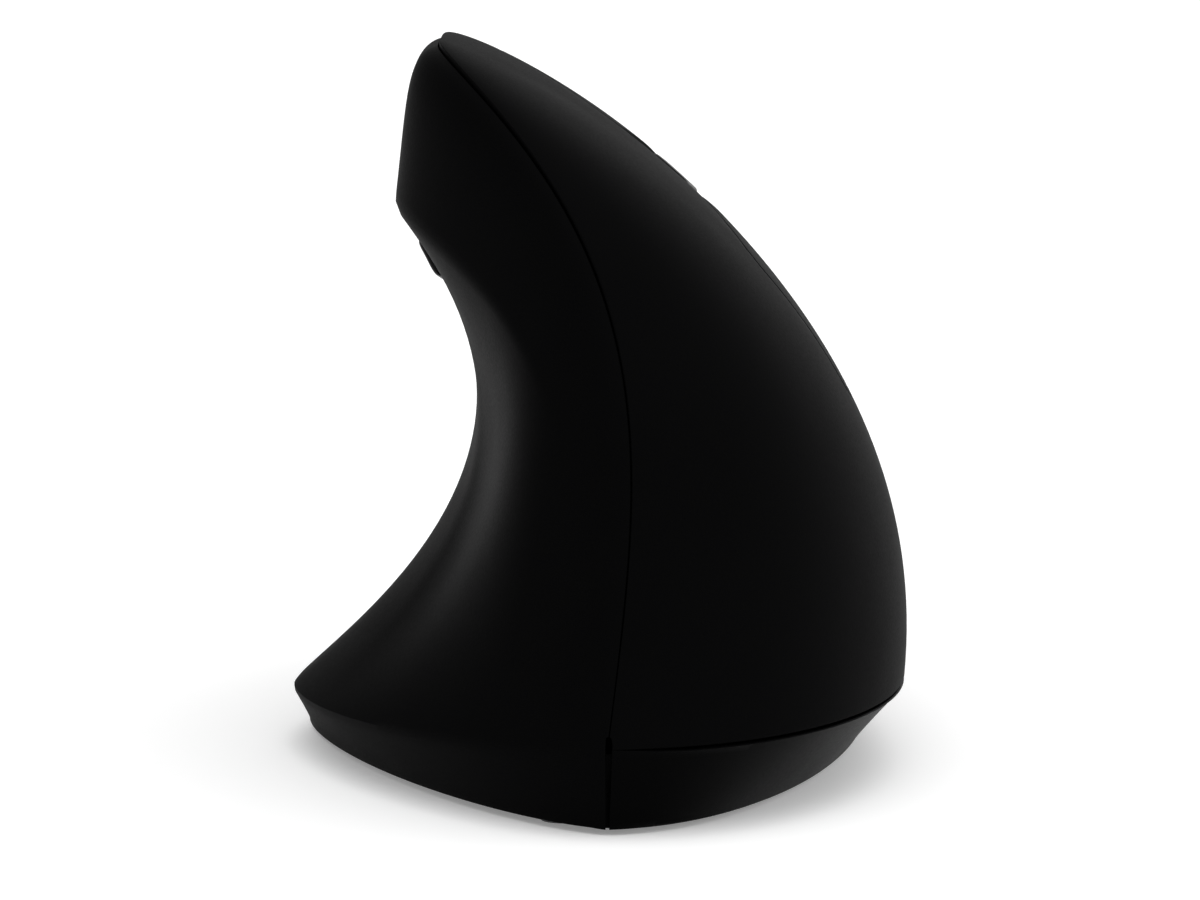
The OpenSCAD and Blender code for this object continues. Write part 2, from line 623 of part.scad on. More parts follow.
module wheel_bezel() color([0.02, 0.02, 0.022]) {
    difference() {
        intersection() {
            palm_skin(plate_stations, steps(0.3, 0.7, 6), bezel_sunk, bezel_t);
            through_face() intersection() {
                window_flat(plate_gap);
                translate([-bezel_w / 2, -far]) square([bezel_w, 2 * far]);
            }
        }
        through_face() {
            translate([-wheel_w / 2 - slot_side, slot_rear])
                square([wheel_w + 2 * slot_side, slot_front - slot_rear]);
            speed_flat(plate_gap);
        }
        finger_frame() translate([0, light_y, -20]) cylinder(d = light_d + 0.1, h = 40);
    }
    // Tongue that catches under the palm shell at the front
    intersection() {
        palm_skin(plate_stations, steps(0.3, 0.7, 6), wall + 0.15, tongue_t);
        through_face() translate([-tongue_w / 2, front_edge - 3]) square([tongue_w, 4.6]);
    }
    finger_frame() for (p = bezel_legs) translate([p[0], p[1], -board_depth])
        cylinder(d = leg_d, h = palm_height(p[0], p[1]) - bezel_sunk - bezel_t / 2 + board_depth);
}

module light_pipe() color([0.85, 0.87, 0.9]) finger_frame() translate([0, light_y, -board_depth])
    cylinder(d = light_d, h = palm_height(0, light_y) - bezel_sunk - 0.1 + board_depth);

module speed_button() color([0.03, 0.03, 0.033]) {
    flange = 1;
    intersection() {
        palm_skin(steps(96, 124, 6), steps(0.34, 0.66, 5),
                  bezel_sunk - speed_proud, speed_proud + bezel_t + 1);
        through_face() speed_flat(0);
    }
    finger_frame() {
        flange_top = palm_height(0, speed_y - speed_l / 2) - bezel_sunk - bezel_t - 0.7;
        stem_foot = -board_depth + tact_h + plunger_h + button_travel + 0.1;
        translate([-speed_w / 2 - flange, speed_y - speed_l / 2, flange_top - 1])
            cube([speed_w + 2 * flange, speed_l, 1]);
        translate([0, speed_y, stem_foot]) cylinder(d = 2.6, h = flange_top - stem_foot);
        translate([-speed_w / 2 + 1, speed_y - speed_l / 2 + 1, flange_top - 0.5])
            cube([speed_w - 2, speed_l - 2, bezel_t + 0.9]);
    }
}

// Push switch with its plunger, standing on z 0
module push_switch(w) {
    translate([-w / 2, -w / 2, 0]) cube([w, w, tact_h]);
    translate([0, 0, tact_h - 0.5]) cylinder(d = 2, h = plunger_h + 0.5);
}
module speed_switch() color([0.12, 0.12, 0.12])
    finger_frame() translate([0, speed_y, -board_depth]) push_switch(tact_w);

// Thumb buttons, cut from the hollow's skin and lifted out of it; end is 1 or -1, where the holding tab is
tab_t = 0.8;
tab_reach = 1.6;
cap_stations = steps(94, 138, 11);
cap_columns = steps(0.54, 0.34, 6);
module thumb_button(y0, end) {
    y = y0 + thumb_l / 2;
    module at_end(from, to, w)
        translate([thumb_x, y + end * (thumb_l / 2 + (from + to) / 2)])
            square([w, to - from], center = true);
    intersection() {
        hollow_skin(cap_stations, cap_columns, -thumb_proud, thumb_proud + wall);
        through_thumb() thumb_cap_flat(y0, 0, 1.6);
    }
    // Tab inside the wall that holds the button in its opening
    intersection() {
        hollow_skin(cap_stations, cap_columns, wall / 2, wall / 2 + button_gap + tab_t);
        through_thumb() at_end(-2.5, -0.3, thumb_w - 2);
    }
    intersection() {
        hollow_skin(cap_stations, cap_columns, wall + button_gap, tab_t);
        through_thumb() at_end(-2.5, plate_gap + tab_reach, thumb_w - 2);
    }
    // Stem that presses the switch
    finger_frame() {
        foot = hollow_height(thumb_x, y) + wall / 2;
        stem_top = board_under - tact_h - plunger_h - button_travel - 0.1;
        translate([thumb_x, y, foot]) cylinder(d = 2.6, h = stem_top - foot);
    }
}
module forward_button() color([0.02, 0.02, 0.022]) thumb_button(forward_y0, 1);
module back_button() color([0.02, 0.02, 0.022]) thumb_button(thumb_rear_y, -1);
module thumb_switches() color([0.12, 0.12, 0.12]) finger_frame()
    for (y0 = [thumb_rear_y, forward_y0])
        translate([thumb_x, y0 + thumb_l / 2, board_under]) rotate([180, 0, 0]) push_switch(tact_w);

// Scroll wheel: hub on a steel axle that lies in the slots of the cradle
hub_r = wheel_d / 2 - tyre_t;
module on_axle() finger_frame() translate([0, axle_y, axle_z]) rotate([0, 90, 0]) children();
module scroll_wheel() color([0.1, 0.1, 0.105]) on_axle() difference() {
    translate([0, 0, -wheel_w / 2]) cylinder(r = hub_r, h = wheel_w);
    for (side = [-1, 1]) translate([0, 0, side * wheel_w / 2]) difference() {
        cylinder(r = hub_r - 1.2, h = 3, center = true);
        cylinder(d = axle_d + 2.4, h = 4, center = true);
    }
    cylinder(d = axle_d + 2 * run_gap, h = wheel_w + 2, center = true);
}
module wheel_tyre() color([0.03, 0.03, 0.03]) on_axle()
    rotate_extrude($fn = 72) difference() {
        translate([hub_r, -wheel_w / 2]) square([tyre_t, wheel_w]);
        for (side = [-1, 1]) translate([wheel_d / 2, side * wheel_w / 2])
            rotate(45) square(1.4, center = true);
    }
cradle_in = wheel_w / 2 + 0.9;
cradle_t = 1.8;
axle_left = cradle_in + cradle_t + 0.2;
axle_right = 9.4;
module wheel_axle() color([0.7, 0.7, 0.72]) on_axle() translate([0, 0, -axle_left])
    cylinder(d = axle_d, h = axle_left + axle_right);
module wheel_cradle() color([0.85, 0.85, 0.82]) finger_frame() for (side = [-1, 1])
    translate([side * (cradle_in + cradle_t / 2), axle_y, -board_depth]) difference() {
        translate([-cradle_t / 2, -3.2, 0]) cube([cradle_t, 6.4, board_depth + axle_z + 2]);
        translate([0, 0, board_depth + axle_z - wheel_travel - 0.1]) rotate([0, 90, 0])
            cylinder(d = axle_d + 2 * run_gap, h = cradle_t + 1, center = true);
        translate([-cradle_t, -axle_d / 2 - run_gap, board_depth + axle_z - wheel_travel - 0.1])
            cube([2 * cradle_t, axle_d + 2 * run_gap, 5]);
    }
wheel_switch_x = 8.6;
module wheel_switch() color([0.12, 0.12, 0.12])
finger_frame() translate([wheel_switch_x, axle_y, -board_depth]) {
    top = board_depth + axle_z - axle_d / 2 - wheel_travel - 0.1;
    translate([-1.7, -2.2, 0]) cube([3.4, 4.4, top - plunger_h]);
    cylinder(d = 1.8, h = top);
}
// Light gate on each side of the wheel
module wheel_encoder() color([0.25, 0.05, 0.06]) finger_frame() for (side = [-1, 1])
    translate([side * (cradle_in + 0.9) - 0.9, axle_y - 8.4, -board_depth]) union() {
        cube([1.8, 3.4, 6]);
        translate([0.9 - side * 0.5, 1.7, 4.4]) rotate([0, -90 * side, 0]) cylinder(d = 2, h = 0.8);
    }

// Click switches with their plungers
module click_switch(x) finger_frame() {
    translate([x - switch_w / 2, peg_y - switch_l * 0.6, -board_depth])
        cube([switch_w, switch_l, switch_h]);
    translate([x - 1.4, peg_y - 0.7, -board_depth + switch_h - 0.5]) cube([2.8, 1.4, plunger_h + 0.5]);
}
module index_switch() color([0.08, 0.08, 0.085]) click_switch(index_x);
module middle_switch() color([0.08, 0.08, 0.085]) click_switch(middle_x);

module switch_board() color([0.05, 0.25, 0.12]) finger_frame() translate([0, 0, board_under]) difference() {
    linear_extrude(board_t) polygon(board_outline);
    slot = wheel_chord(-board_depth) + slot_end;
    translate([-wheel_w / 2 - slot_side, axle_y - slot, -1])
        cube([wheel_w + 2 * slot_side, 3 * slot, board_t + 2]);
    for (p = board_holes) translate([p[0], p[1], -1]) cylinder(d = screw_d + 0.3, h = board_t + 2);
}

module inner_frame() color([0.3, 0.3, 0.31]) {
    foot_z = floor_top + frame_boss_h;
    difference() {
        union() {
            finger_frame() translate([frame_x[0], frame_y[0], board_under - frame_t])
                cube([frame_x[1] - frame_x[0], frame_y[1] - frame_y[0], frame_t]);
            translate([frame_foot[0][0], frame_foot[0][1], foot_z])
                cube([frame_foot[1][0] - frame_foot[0][0], frame_foot[1][1] - frame_foot[0][1], frame_t]);
            for (y = frame_legs) {
                head = from_finger([(frame_x[0] + frame_x[1]) / 2, y, board_under - frame_t]);
                hull() {
                    finger_frame()
                        translate([(frame_x[0] + frame_x[1] - frame_leg) / 2,
                                   y - frame_leg / 2, board_under - frame_t])
                        cube([frame_leg, frame_leg, frame_t / 2]);
                    translate([head[0] - frame_leg / 2, head[1] - frame_leg / 2, foot_z])
                        cube([frame_leg, frame_leg, frame_t]);
                }
            }
        }
        for (p = frame_bosses) translate([p[0], p[1], foot_z - 1])
            cylinder(d = screw_d + 0.3, h = frame_t + 2);
        for (p = board_holes) finger_frame() translate([p[0], p[1], board_under - 4])
            cylinder(d = pilot_d, h = 5);
    }
}

// Flat cable from the main board up to the switch board's lower edge
cable_w = 5.5;
cable_t = 0.4;
cable_end = [17.4, -16.4];
module cable_bar() translate([0, -cable_t / 2, -cable_t / 2]) cube([cable_w, cable_t, cable_t]);
module ribbon_cable() color([0.75, 0.75, 0.72]) {
    low = [main_x1 - cable_w - 0.3, main_y0 + 5.05, main_z + board_t + cable_t / 2 + 0.05];
    bend = low + [0, 0, 6];
    top = from_finger([cable_end[0], cable_end[1], board_under]);
    middle = [mix(bend[0], top[0], 0.6), mix(bend[1], top[1], 0.6), mix(bend[2], top[2], 0.55)];
    hull() {
        translate(low) cable_bar();
        translate(bend) cable_bar();
    }
    hull() {
        translate(bend) cable_bar();
        translate(middle) cable_bar();
    }
    hull() {
        translate(middle) cable_bar();
        finger_frame() translate([cable_end[0], cable_end[1], board_under - cable_t / 2 - 0.05])
            cable_bar();
    }
}

module main_board() color([0.05, 0.25, 0.12]) translate([0, 0, main_z]) difference() {
    linear_extrude(board_t) polygon(main_outline);
    for (p = main_holes) translate([p[0], p[1], -1]) cylinder(d = screw_d + 0.3, h = board_t + 2);
    translate([sensor_x, sensor_y, -1]) cylinder(d = 6, h = board_t + 2);
}
module optical_sensor() color([0.07, 0.07, 0.075]) translate([sensor_x, sensor_y, main_z + board_t])
    translate([-5, -5.5, 0]) cube([10, 11, 3.4]);
module sensor_lens() color([0.85, 0.88, 0.9]) translate([sensor_x, sensor_y, 0]) {
    plate = 1.4;
    translate([-5, -6, main_z - plate - 0.1]) cube([10, 12, plate]);
    translate([0, 0, floor_top - 1]) cylinder(d1 = 6, d2 = 8.2, h = main_z - plate - floor_top + 1);
}
module sensor_light() color([0.8, 0.2, 0.2])
    translate([sensor_x, sensor_y - 10.6, main_z + board_t + 1.75]) rotate([-90, 0, 0]) {
    cylinder(d = 3, h = 4.6);
    cylinder(d = 3.4, h = 1);
}

// Power switch under the main board, with the peg of the slider in its slot
switch_gap = 0.3;
module power_switch() color([0.6, 0.6, 0.6]) difference() {
    translate([slider_x - 1.9, slider_y - 3, main_z - 3]) cube([3.8, 6 + slider_travel, 2.95]);
    translate([slider_x - 0.75 - switch_gap, slider_y - 0.75 - switch_gap, main_z - 4])
        cube([1.5 + 2 * switch_gap, 1.5 + slider_travel + 2 * switch_gap, 3.2]);
}
module power_slider() color([0.15, 0.15, 0.155]) {
    rail = 0.8;
    translate([slider_x - slider_w / 2, slider_y - slider_l / 2, foot_h]) difference() {
        cube([slider_w, slider_l, floor_t + 0.3]);
        for (i = [0:2]) translate([-1, slider_l / 2 - 1 + i - 0.25, -0.1]) cube([slider_w + 2, 0.5, 0.5]);
    }
    translate([slider_x - slider_w / 2 - rail, slider_y - slider_l / 2 - rail, floor_top + 0.2])
        cube([slider_w + 2 * rail, slider_l + 2 * rail, 0.8]);
    translate([slider_x - 0.75, slider_y - 0.75, floor_top + 0.5])
        cube([1.5, 1.5, main_z - 1.6 - floor_top]);
}

module battery_cells() for (side = [-1, 1])
    translate([bay_x + side * bay_w / 4, bay_rear + contact_t + contact_nub + 0.1, cell_z])
    rotate([-90, 0, 0]) {
        nub = 1.2;
        flip = side > 0;
        color([0.75, 0.55, 0.3]) translate([0, 0, flip ? nub : 0]) cylinder(d = cell_d, h = cell_l - nub);
        color([0.8, 0.8, 0.8]) translate([0, 0, flip ? 0 : cell_l - nub - 0.01])
            cylinder(d = 3.8, h = nub + 0.01);
    }
module battery_contacts() color([0.75, 0.75, 0.72]) for (side = [-1, 1], back = [0, 1])
    translate([bay_x + side * bay_w / 4, back ? bay_rear + bay_l : bay_rear, cell_z])
    rotate([back ? 90 : -90, 0, 0]) {
        translate([-3.5, -3.5, 0]) cube([7, 7, contact_t]);
        cylinder(d = 3, h = contact_t + contact_nub);
    }
module battery_door() color([0.06, 0.06, 0.065]) {
    w = bay_w - 2 * door_gap;
    difference() {
        translate([bay_x - w / 2, 0, 0]) rotate([90, 0, 90]) linear_extrude(w) polygon([
            [bay_rear + door_gap, foot_h], [door_front - door_ease, foot_h],
            [door_front, hinge_z - knuckle_r],
            [door_front, foot_h + door_t], [bay_rear + door_gap, foot_h + door_t]]);
        // Finger notch at the rear edge
        translate([bay_x, bay_rear + door_gap, foot_h - 1]) cylinder(r = 4, h = 1.6);
    }
    translate([bay_x - w / 2, door_front, hinge_z]) rotate([0, 90, 0]) cylinder(r = knuckle_r, h = w);
    translate([bay_x - bay_w / 2 - box_wall + 0.2, door_front, hinge_z]) rotate([0, 90, 0])
        cylinder(r = pin_r, h = bay_w + 2 * box_wall - 0.4);
}

module receiver_cap() color([0.05, 0.05, 0.055])
    translate([receiver_x - receiver_t / 2, receiver_y - receiver_w / 2, foot_h + 0.2])
        difference() {
            cube([receiver_t, receiver_w, receiver_l - plug_l]);
            translate([-1, receiver_w / 2 - 3, -0.1]) cube([receiver_t + 2, 6, 0.7]);
        }
module receiver_plug() color([0.75, 0.75, 0.76])
    translate([receiver_x - plug_t / 2, receiver_y - plug_w / 2, foot_h + 0.2 + receiver_l - plug_l])
    difference() {
        cube([plug_t, plug_w, plug_l]);
        translate([plug_t * 0.4, 0.5, 1]) cube([plug_t * 0.6 - 0.4, plug_w - 1, plug_l]);
    }

// Glide feet on the underside: middle and size of each
feet = [[1.5, front_y - 14, 15, 5], [1, rear_y + 11.6, 13, 4.6], [-20.5, -10, 5, 15], [19.4, 14, 5, 15]];
foot_r = 2.2;
module glide_feet() color([0.2, 0.2, 0.2]) for (f = feet) translate([f[0], f[1], 0]) linear_extrude(foot_h)
    union() {
        square([f[2] - 2 * foot_r, f[3]], center = true);
        square([f[2], f[3] - 2 * foot_r], center = true);
        for (sx = [-1, 1], sy = [-1, 1])
            translate([sx * (f[2] / 2 - foot_r), sy * (f[3] / 2 - foot_r)]) circle(r = foot_r);
    }

// Screw with a cross recess, pointing up from z 0
screw_head_h = 1.4;
module screw(l) difference() {
    union() {
        cylinder(d = head_d, h = screw_head_h);
        cylinder(d = screw_d, h = screw_head_h + l);
    }
    for (a = [0, 90]) rotate(a) translate([-1.2, -0.3, -0.1]) cube([2.4, 0.6, 0.8]);
}
module case_screws() color([0.55, 0.55, 0.56]) for (p = all_posts)
    translate([p[0], p[1], foot_h + 0.95]) screw(p[2] + screw_reach(p) - foot_h - 0.95 - screw_head_h);
module board_screws() color([0.55, 0.55, 0.56]) {
    // The pilot holes are a tight fit, so only the plain upper part of these screws is drawn
    for (p = main_holes) translate([p[0], p[1], main_z + board_t + screw_head_h + 0.05])
        rotate([180, 0, 0]) screw(board_t - 0.1);
    for (p = frame_bosses) translate([p[0], p[1], floor_top + frame_boss_h + frame_t + screw_head_h + 0.05])
        rotate([180, 0, 0]) screw(frame_t - 0.1);
    for (p = board_holes) finger_frame() translate([p[0], p[1], -board_depth + screw_head_h + 0.05])
        rotate([180, 0, 0]) screw(board_t - 0.1);
}

base_tray();
thumb_shell();
palm_shell();
index_button();
middle_button();
wheel_bezel();
scroll_wheel();
wheel_tyre();
wheel_axle();
wheel_cradle();
wheel_switch();
wheel_encoder();
index_switch();
middle_switch();
speed_button();
speed_switch();
light_pipe();
forward_button();
back_button();
thumb_switches();
switch_board();
inner_frame();
ribbon_cable();
main_board();
optical_sensor();
sensor_lens();
sensor_light();
power_switch();
power_slider();
battery_cells();
battery_contacts();
battery_door();
receiver_cap();
receiver_plug();
glide_feet();
case_screws();
board_screws();
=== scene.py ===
import json
import math
import bmesh
import bpy
import numpy as np
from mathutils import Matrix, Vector
from mathutils.geometry import delaunay_2d_cdt


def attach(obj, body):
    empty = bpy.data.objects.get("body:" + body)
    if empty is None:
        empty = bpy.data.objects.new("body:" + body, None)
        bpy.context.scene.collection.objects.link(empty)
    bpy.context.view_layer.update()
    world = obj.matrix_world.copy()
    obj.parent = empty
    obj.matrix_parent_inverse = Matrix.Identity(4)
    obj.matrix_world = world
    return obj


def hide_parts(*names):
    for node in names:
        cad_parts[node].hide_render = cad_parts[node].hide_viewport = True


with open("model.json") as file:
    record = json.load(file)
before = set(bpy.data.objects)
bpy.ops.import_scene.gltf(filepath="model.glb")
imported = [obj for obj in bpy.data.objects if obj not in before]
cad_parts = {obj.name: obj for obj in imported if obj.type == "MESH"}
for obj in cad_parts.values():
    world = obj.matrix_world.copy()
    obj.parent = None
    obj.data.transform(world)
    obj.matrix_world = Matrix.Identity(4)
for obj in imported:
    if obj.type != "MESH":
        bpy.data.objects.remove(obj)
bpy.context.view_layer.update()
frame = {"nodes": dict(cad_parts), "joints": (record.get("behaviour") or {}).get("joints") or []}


# Studio.
# A matte white paper sweep under the mouse, a broad soft lamp nearly overhead and a surround that pales to the right.
# The camera stands behind the mouse and looks at it from seven degrees up, as in the photo.
camera_tilt = math.radians(7.2)
camera_aim = Vector((0.0003, -0.015, 0.038))
camera_look = Vector((0, math.cos(camera_tilt), -math.sin(camera_tilt)))
camera = bpy.data.objects.new("camera", bpy.data.cameras.new("camera"))
camera.data.sensor_width = 36
camera.data.lens = 190.1
camera.data.shift_y = -0.0483
camera.data.clip_start = 0.01
camera.location = camera_aim - camera_look * 0.65
camera.rotation_euler = (math.pi / 2 - camera_tilt, 0, 0)
bpy.context.scene.collection.objects.link(camera)
bpy.context.scene.camera = camera
bpy.context.scene.view_settings.view_transform = "Standard"


class Shade:
    """An output socket of a node tree, with the arithmetic of shader values."""

    def __init__(self, tree, socket=None):
        self.tree = tree
        self.socket = socket

    def node(self, kind, settings=None, values=None, stops=None, out=0):
        """Adds a node: its settings, the stops of its ramp, then the values and links of its sockets."""
        made = self.tree.nodes.new(kind)
        for name, value in (settings or {}).items():
            setattr(made, name, value)
        if stops:
            while len(made.color_ramp.elements) < len(stops):
                made.color_ramp.elements.new(0.5)
            for stop, (place, tone) in zip(made.color_ramp.elements, stops):
                stop.position = place
                stop.color = (tone, tone, tone, 1)
        for name, value in (values or {}).items():
            self.feed(made.inputs[name], value)
        return Shade(self.tree, made.outputs[out])

    def feed(self, socket, value):
        if isinstance(value, Shade):
            self.tree.links.new(value.socket, socket)
        else:
            socket.default_value = value

    def sum_of(self, kind, a, b):
        return self.node("ShaderNodeMath", {"operation": kind}, {0: a, 1: b})

    def __add__(self, other): return self.sum_of("ADD", self, other)
    def __radd__(self, other): return self.sum_of("ADD", other, self)
    def __sub__(self, other): return self.sum_of("SUBTRACT", self, other)
    def __rsub__(self, other): return self.sum_of("SUBTRACT", other, self)
    def __mul__(self, other): return self.sum_of("MULTIPLY", self, other)
    def __rmul__(self, other): return self.sum_of("MULTIPLY", other, self)
    def __gt__(self, other): return self.sum_of("GREATER_THAN", self, other)
    def __lt__(self, other): return self.sum_of("LESS_THAN", self, other)

    def between(self, low, high):
        """A colour between two colours, by this value from 0 to 1."""
        low, high = [c if isinstance(c, Shade) else (*c, 1) for c in (low, high)]
        return self.node("ShaderNodeMix", {"data_type": "RGBA"}, {0: self, 6: low, 7: high}, out=2)

    def steps(self, *stops):
        """This value through a ramp of (place, tone) stops."""
        return self.node("ShaderNodeValToRGB", values={0: self}, stops=stops)


def new_finish(name):
    """A fresh material, its node tree as a Shade, and its surface node."""
    made = bpy.data.materials.new(name)
    made.use_nodes = True
    return made, Shade(made.node_tree), made.node_tree.nodes["Principled BSDF"]


def place_along(tree, axis, kind="Object"):
    """Place along an axis (0 to 2), in metres on a piece."""
    return tree.node("ShaderNodeSeparateXYZ", values={0: tree.node("ShaderNodeTexCoord", out=kind)}, out=axis)


def noise(tree, size, detail=2.0, stretch=(1, 1, 1)):
    """Noise with features of a size in millimetres, fixed to the piece."""
    place = tree.node("ShaderNodeTexCoord", out="Object")
    spread = tree.node("ShaderNodeVectorMath", {"operation": "MULTIPLY"}, {0: place, 1: stretch})
    return tree.node("ShaderNodeTexNoise", values={"Vector": spread, "Scale": 1000 / size, "Detail": detail})


floor_mesh = bpy.data.meshes.new("paper_sweep")
floor_mesh.from_pydata([(-6, -6, 0), (6, -6, 0), (6, 6, 0), (-6, 6, 0)], [], [(0, 1, 2, 3)])
floor = bpy.data.objects.new("paper_sweep", floor_mesh)
bpy.context.scene.collection.objects.link(floor)
paper, tree, skin = new_finish("white_paper")
tree.feed(skin.inputs["Base Color"], noise(tree, 3.0).between((0.955, 0.955, 0.955), (0.97, 0.97, 0.97)))
seen = [tree.node("ShaderNodeLightPath", out=ray)
        for ray in ("Is Camera Ray", "Is Glossy Ray", "Is Transmission Ray")]
tree.feed(skin.inputs["Emission Color"], (seen[0] + seen[1] + seen[2]).between((0, 0, 0), (1, 1, 1)))
skin.inputs["Emission Strength"].default_value = 0.22
skin.inputs["Roughness"].default_value = 0.8
skin.inputs["Specular IOR Level"].default_value = 0.1
floor.data.materials.append(paper)

surround = bpy.data.worlds.new("pale_surround")
surround.use_nodes = True
tree = Shade(surround.node_tree)
sky = surround.node_tree.nodes["Background"]
tree.feed(sky.inputs["Color"], (place_along(tree, 0, "Generated") + 0.5).between((0.4, 0.4, 0.4), (1, 1, 1)))
sky.inputs["Strength"].default_value = 1.05
bpy.context.scene.world = surround
lamp = bpy.data.objects.new("soft_lamp", bpy.data.lights.new("soft_lamp", "SUN"))
lamp.data.energy = 1.0
lamp.data.angle = math.radians(70)
lamp.rotation_euler = (math.radians(14), math.radians(-6), 0)
bpy.context.scene.collection.objects.link(lamp)


# Base tray.
# Floor of the mouse with the undercut strip under the palm shell, the battery box, the receiver's pocket,
# the screw tubes and the posts of the main board: one injection moulding in satin black ABS.
# Sizes are in millimetres. A place on a skin is its station along the mouse and its way down, counted in steps.
rear, front, ridge = -60.0, 60.0, -16.0
wall = 2.0
end_x, shell_foot, underside, base_share = 0.9, 9.0, 0.6, 0.95
seam_half_gap = 0.175
skin_start, skin_end = 1.1, 178.9
palm_down, strip_down = 80, 12


def rows(*columns):
    return np.stack(np.broadcast_arrays(*columns), -1).astype(float)


def unit(p):
    return p / np.linalg.norm(p, axis=-1, keepdims=True)


def dot(a, b):
    return np.sum(a * b, -1)


def ease(low, high, x):
    """A smooth step from 0 at low to 1 at high."""
    t = np.clip((x - low) / (high - low), 0, 1)
    return t * t * (3 - 2 * t)


def station_y(f):
    """Stations run from 0 degrees at the rear edge over 90 at the ridge's highest point to 180 at the nose."""
    return ridge - np.where(f <= 90, ridge - rear, front - ridge) * np.cos(np.radians(f))


def from_end(f):
    """Stations from the nearer end of the mouse."""
    return np.minimum(f, 180 - f)


def rise(f):
    """Height of the ridge along the mouse, from 0 at its ends to 1."""
    f = np.clip(f, 0, 180)
    ahead = np.maximum(0.0, -np.cos(np.radians(f)))
    return np.where(f <= 90, np.sin(np.radians(f)), np.sqrt(np.maximum(0.0, 1 - ahead ** 3.33)))


def swell(y, middle, blunt, roundness):
    """Width of an outline along the mouse, from 0 at its ends to 1 at its middle."""
    q = (y - middle) / np.where(y < middle, rear - middle, front - middle)
    return np.maximum(0.0, 1 - np.minimum(1.0, np.abs(q)) ** blunt) ** (1 / roundness)


def palm_foot(f):
    y = station_y(f)
    return rows(end_x + 30.76 * swell(y, -14, 2, 2), y, shell_foot)


def base_right(f):
    y = station_y(f)
    return rows(end_x + 27.3 * swell(y, 5.8, 1.6, 1.88), y * base_share, underside)


def base_left(f):
    y = station_y(f)
    return rows(end_x - 31.3 * swell(y, 2.7, 1.42, 1.39), y * base_share, underside)


def strip(q):
    """Strip under the palm shell, from its top (0) to its bottom (strip_down); its gap closes towards the ends."""
    f, t = q[:, 0], q[:, 1:] / strip_down
    gap = 0.2 * np.clip(from_end(f) / 15, 0.05, 1)
    return (1 - t) * (palm_foot(f) - rows(0, 0, gap)) + t * base_right(f)


def to_ends(f, n):
    """Near the two ends of the mouse a shell's thickness runs along the mouse."""
    k = ease(0, 14, from_end(f))[:, None]
    return unit((1 - k) * rows(0 * f, np.where(f < 90, -1.0, 1.0), 0 * f) + k * n)


def strip_out(q):
    q = rows(q[:, 0], strip_down / 2)
    along = strip(q + [0.4, 0]) - strip(q - [0.4, 0])
    return to_ends(q[:, 0], unit(rows(along[:, 1], -along[:, 0], 0)))


def slopes(surface, q):
    """How a surface runs along its two directions, per step."""
    return [(surface(q + step) - surface(q - step)) * 10 for step in np.array([[0.05, 0], [0, 0.05]])]


def inside(points, loops):
    """Which points lie inside the loops, where a loop in a loop is a hole."""
    odd = np.zeros(len(points), bool)
    for loop in loops:
        for a, b in zip(loop, np.roll(loop, -1, 0)):
            spans = (a[1] > points[:, 1]) != (b[1] > points[:, 1])
            if spans.any():
                odd ^= spans & (points[:, 0] < a[0] + (points[:, 1] - a[1]) * (b[0] - a[0]) / (b[1] - a[1] or 1))
    return odd


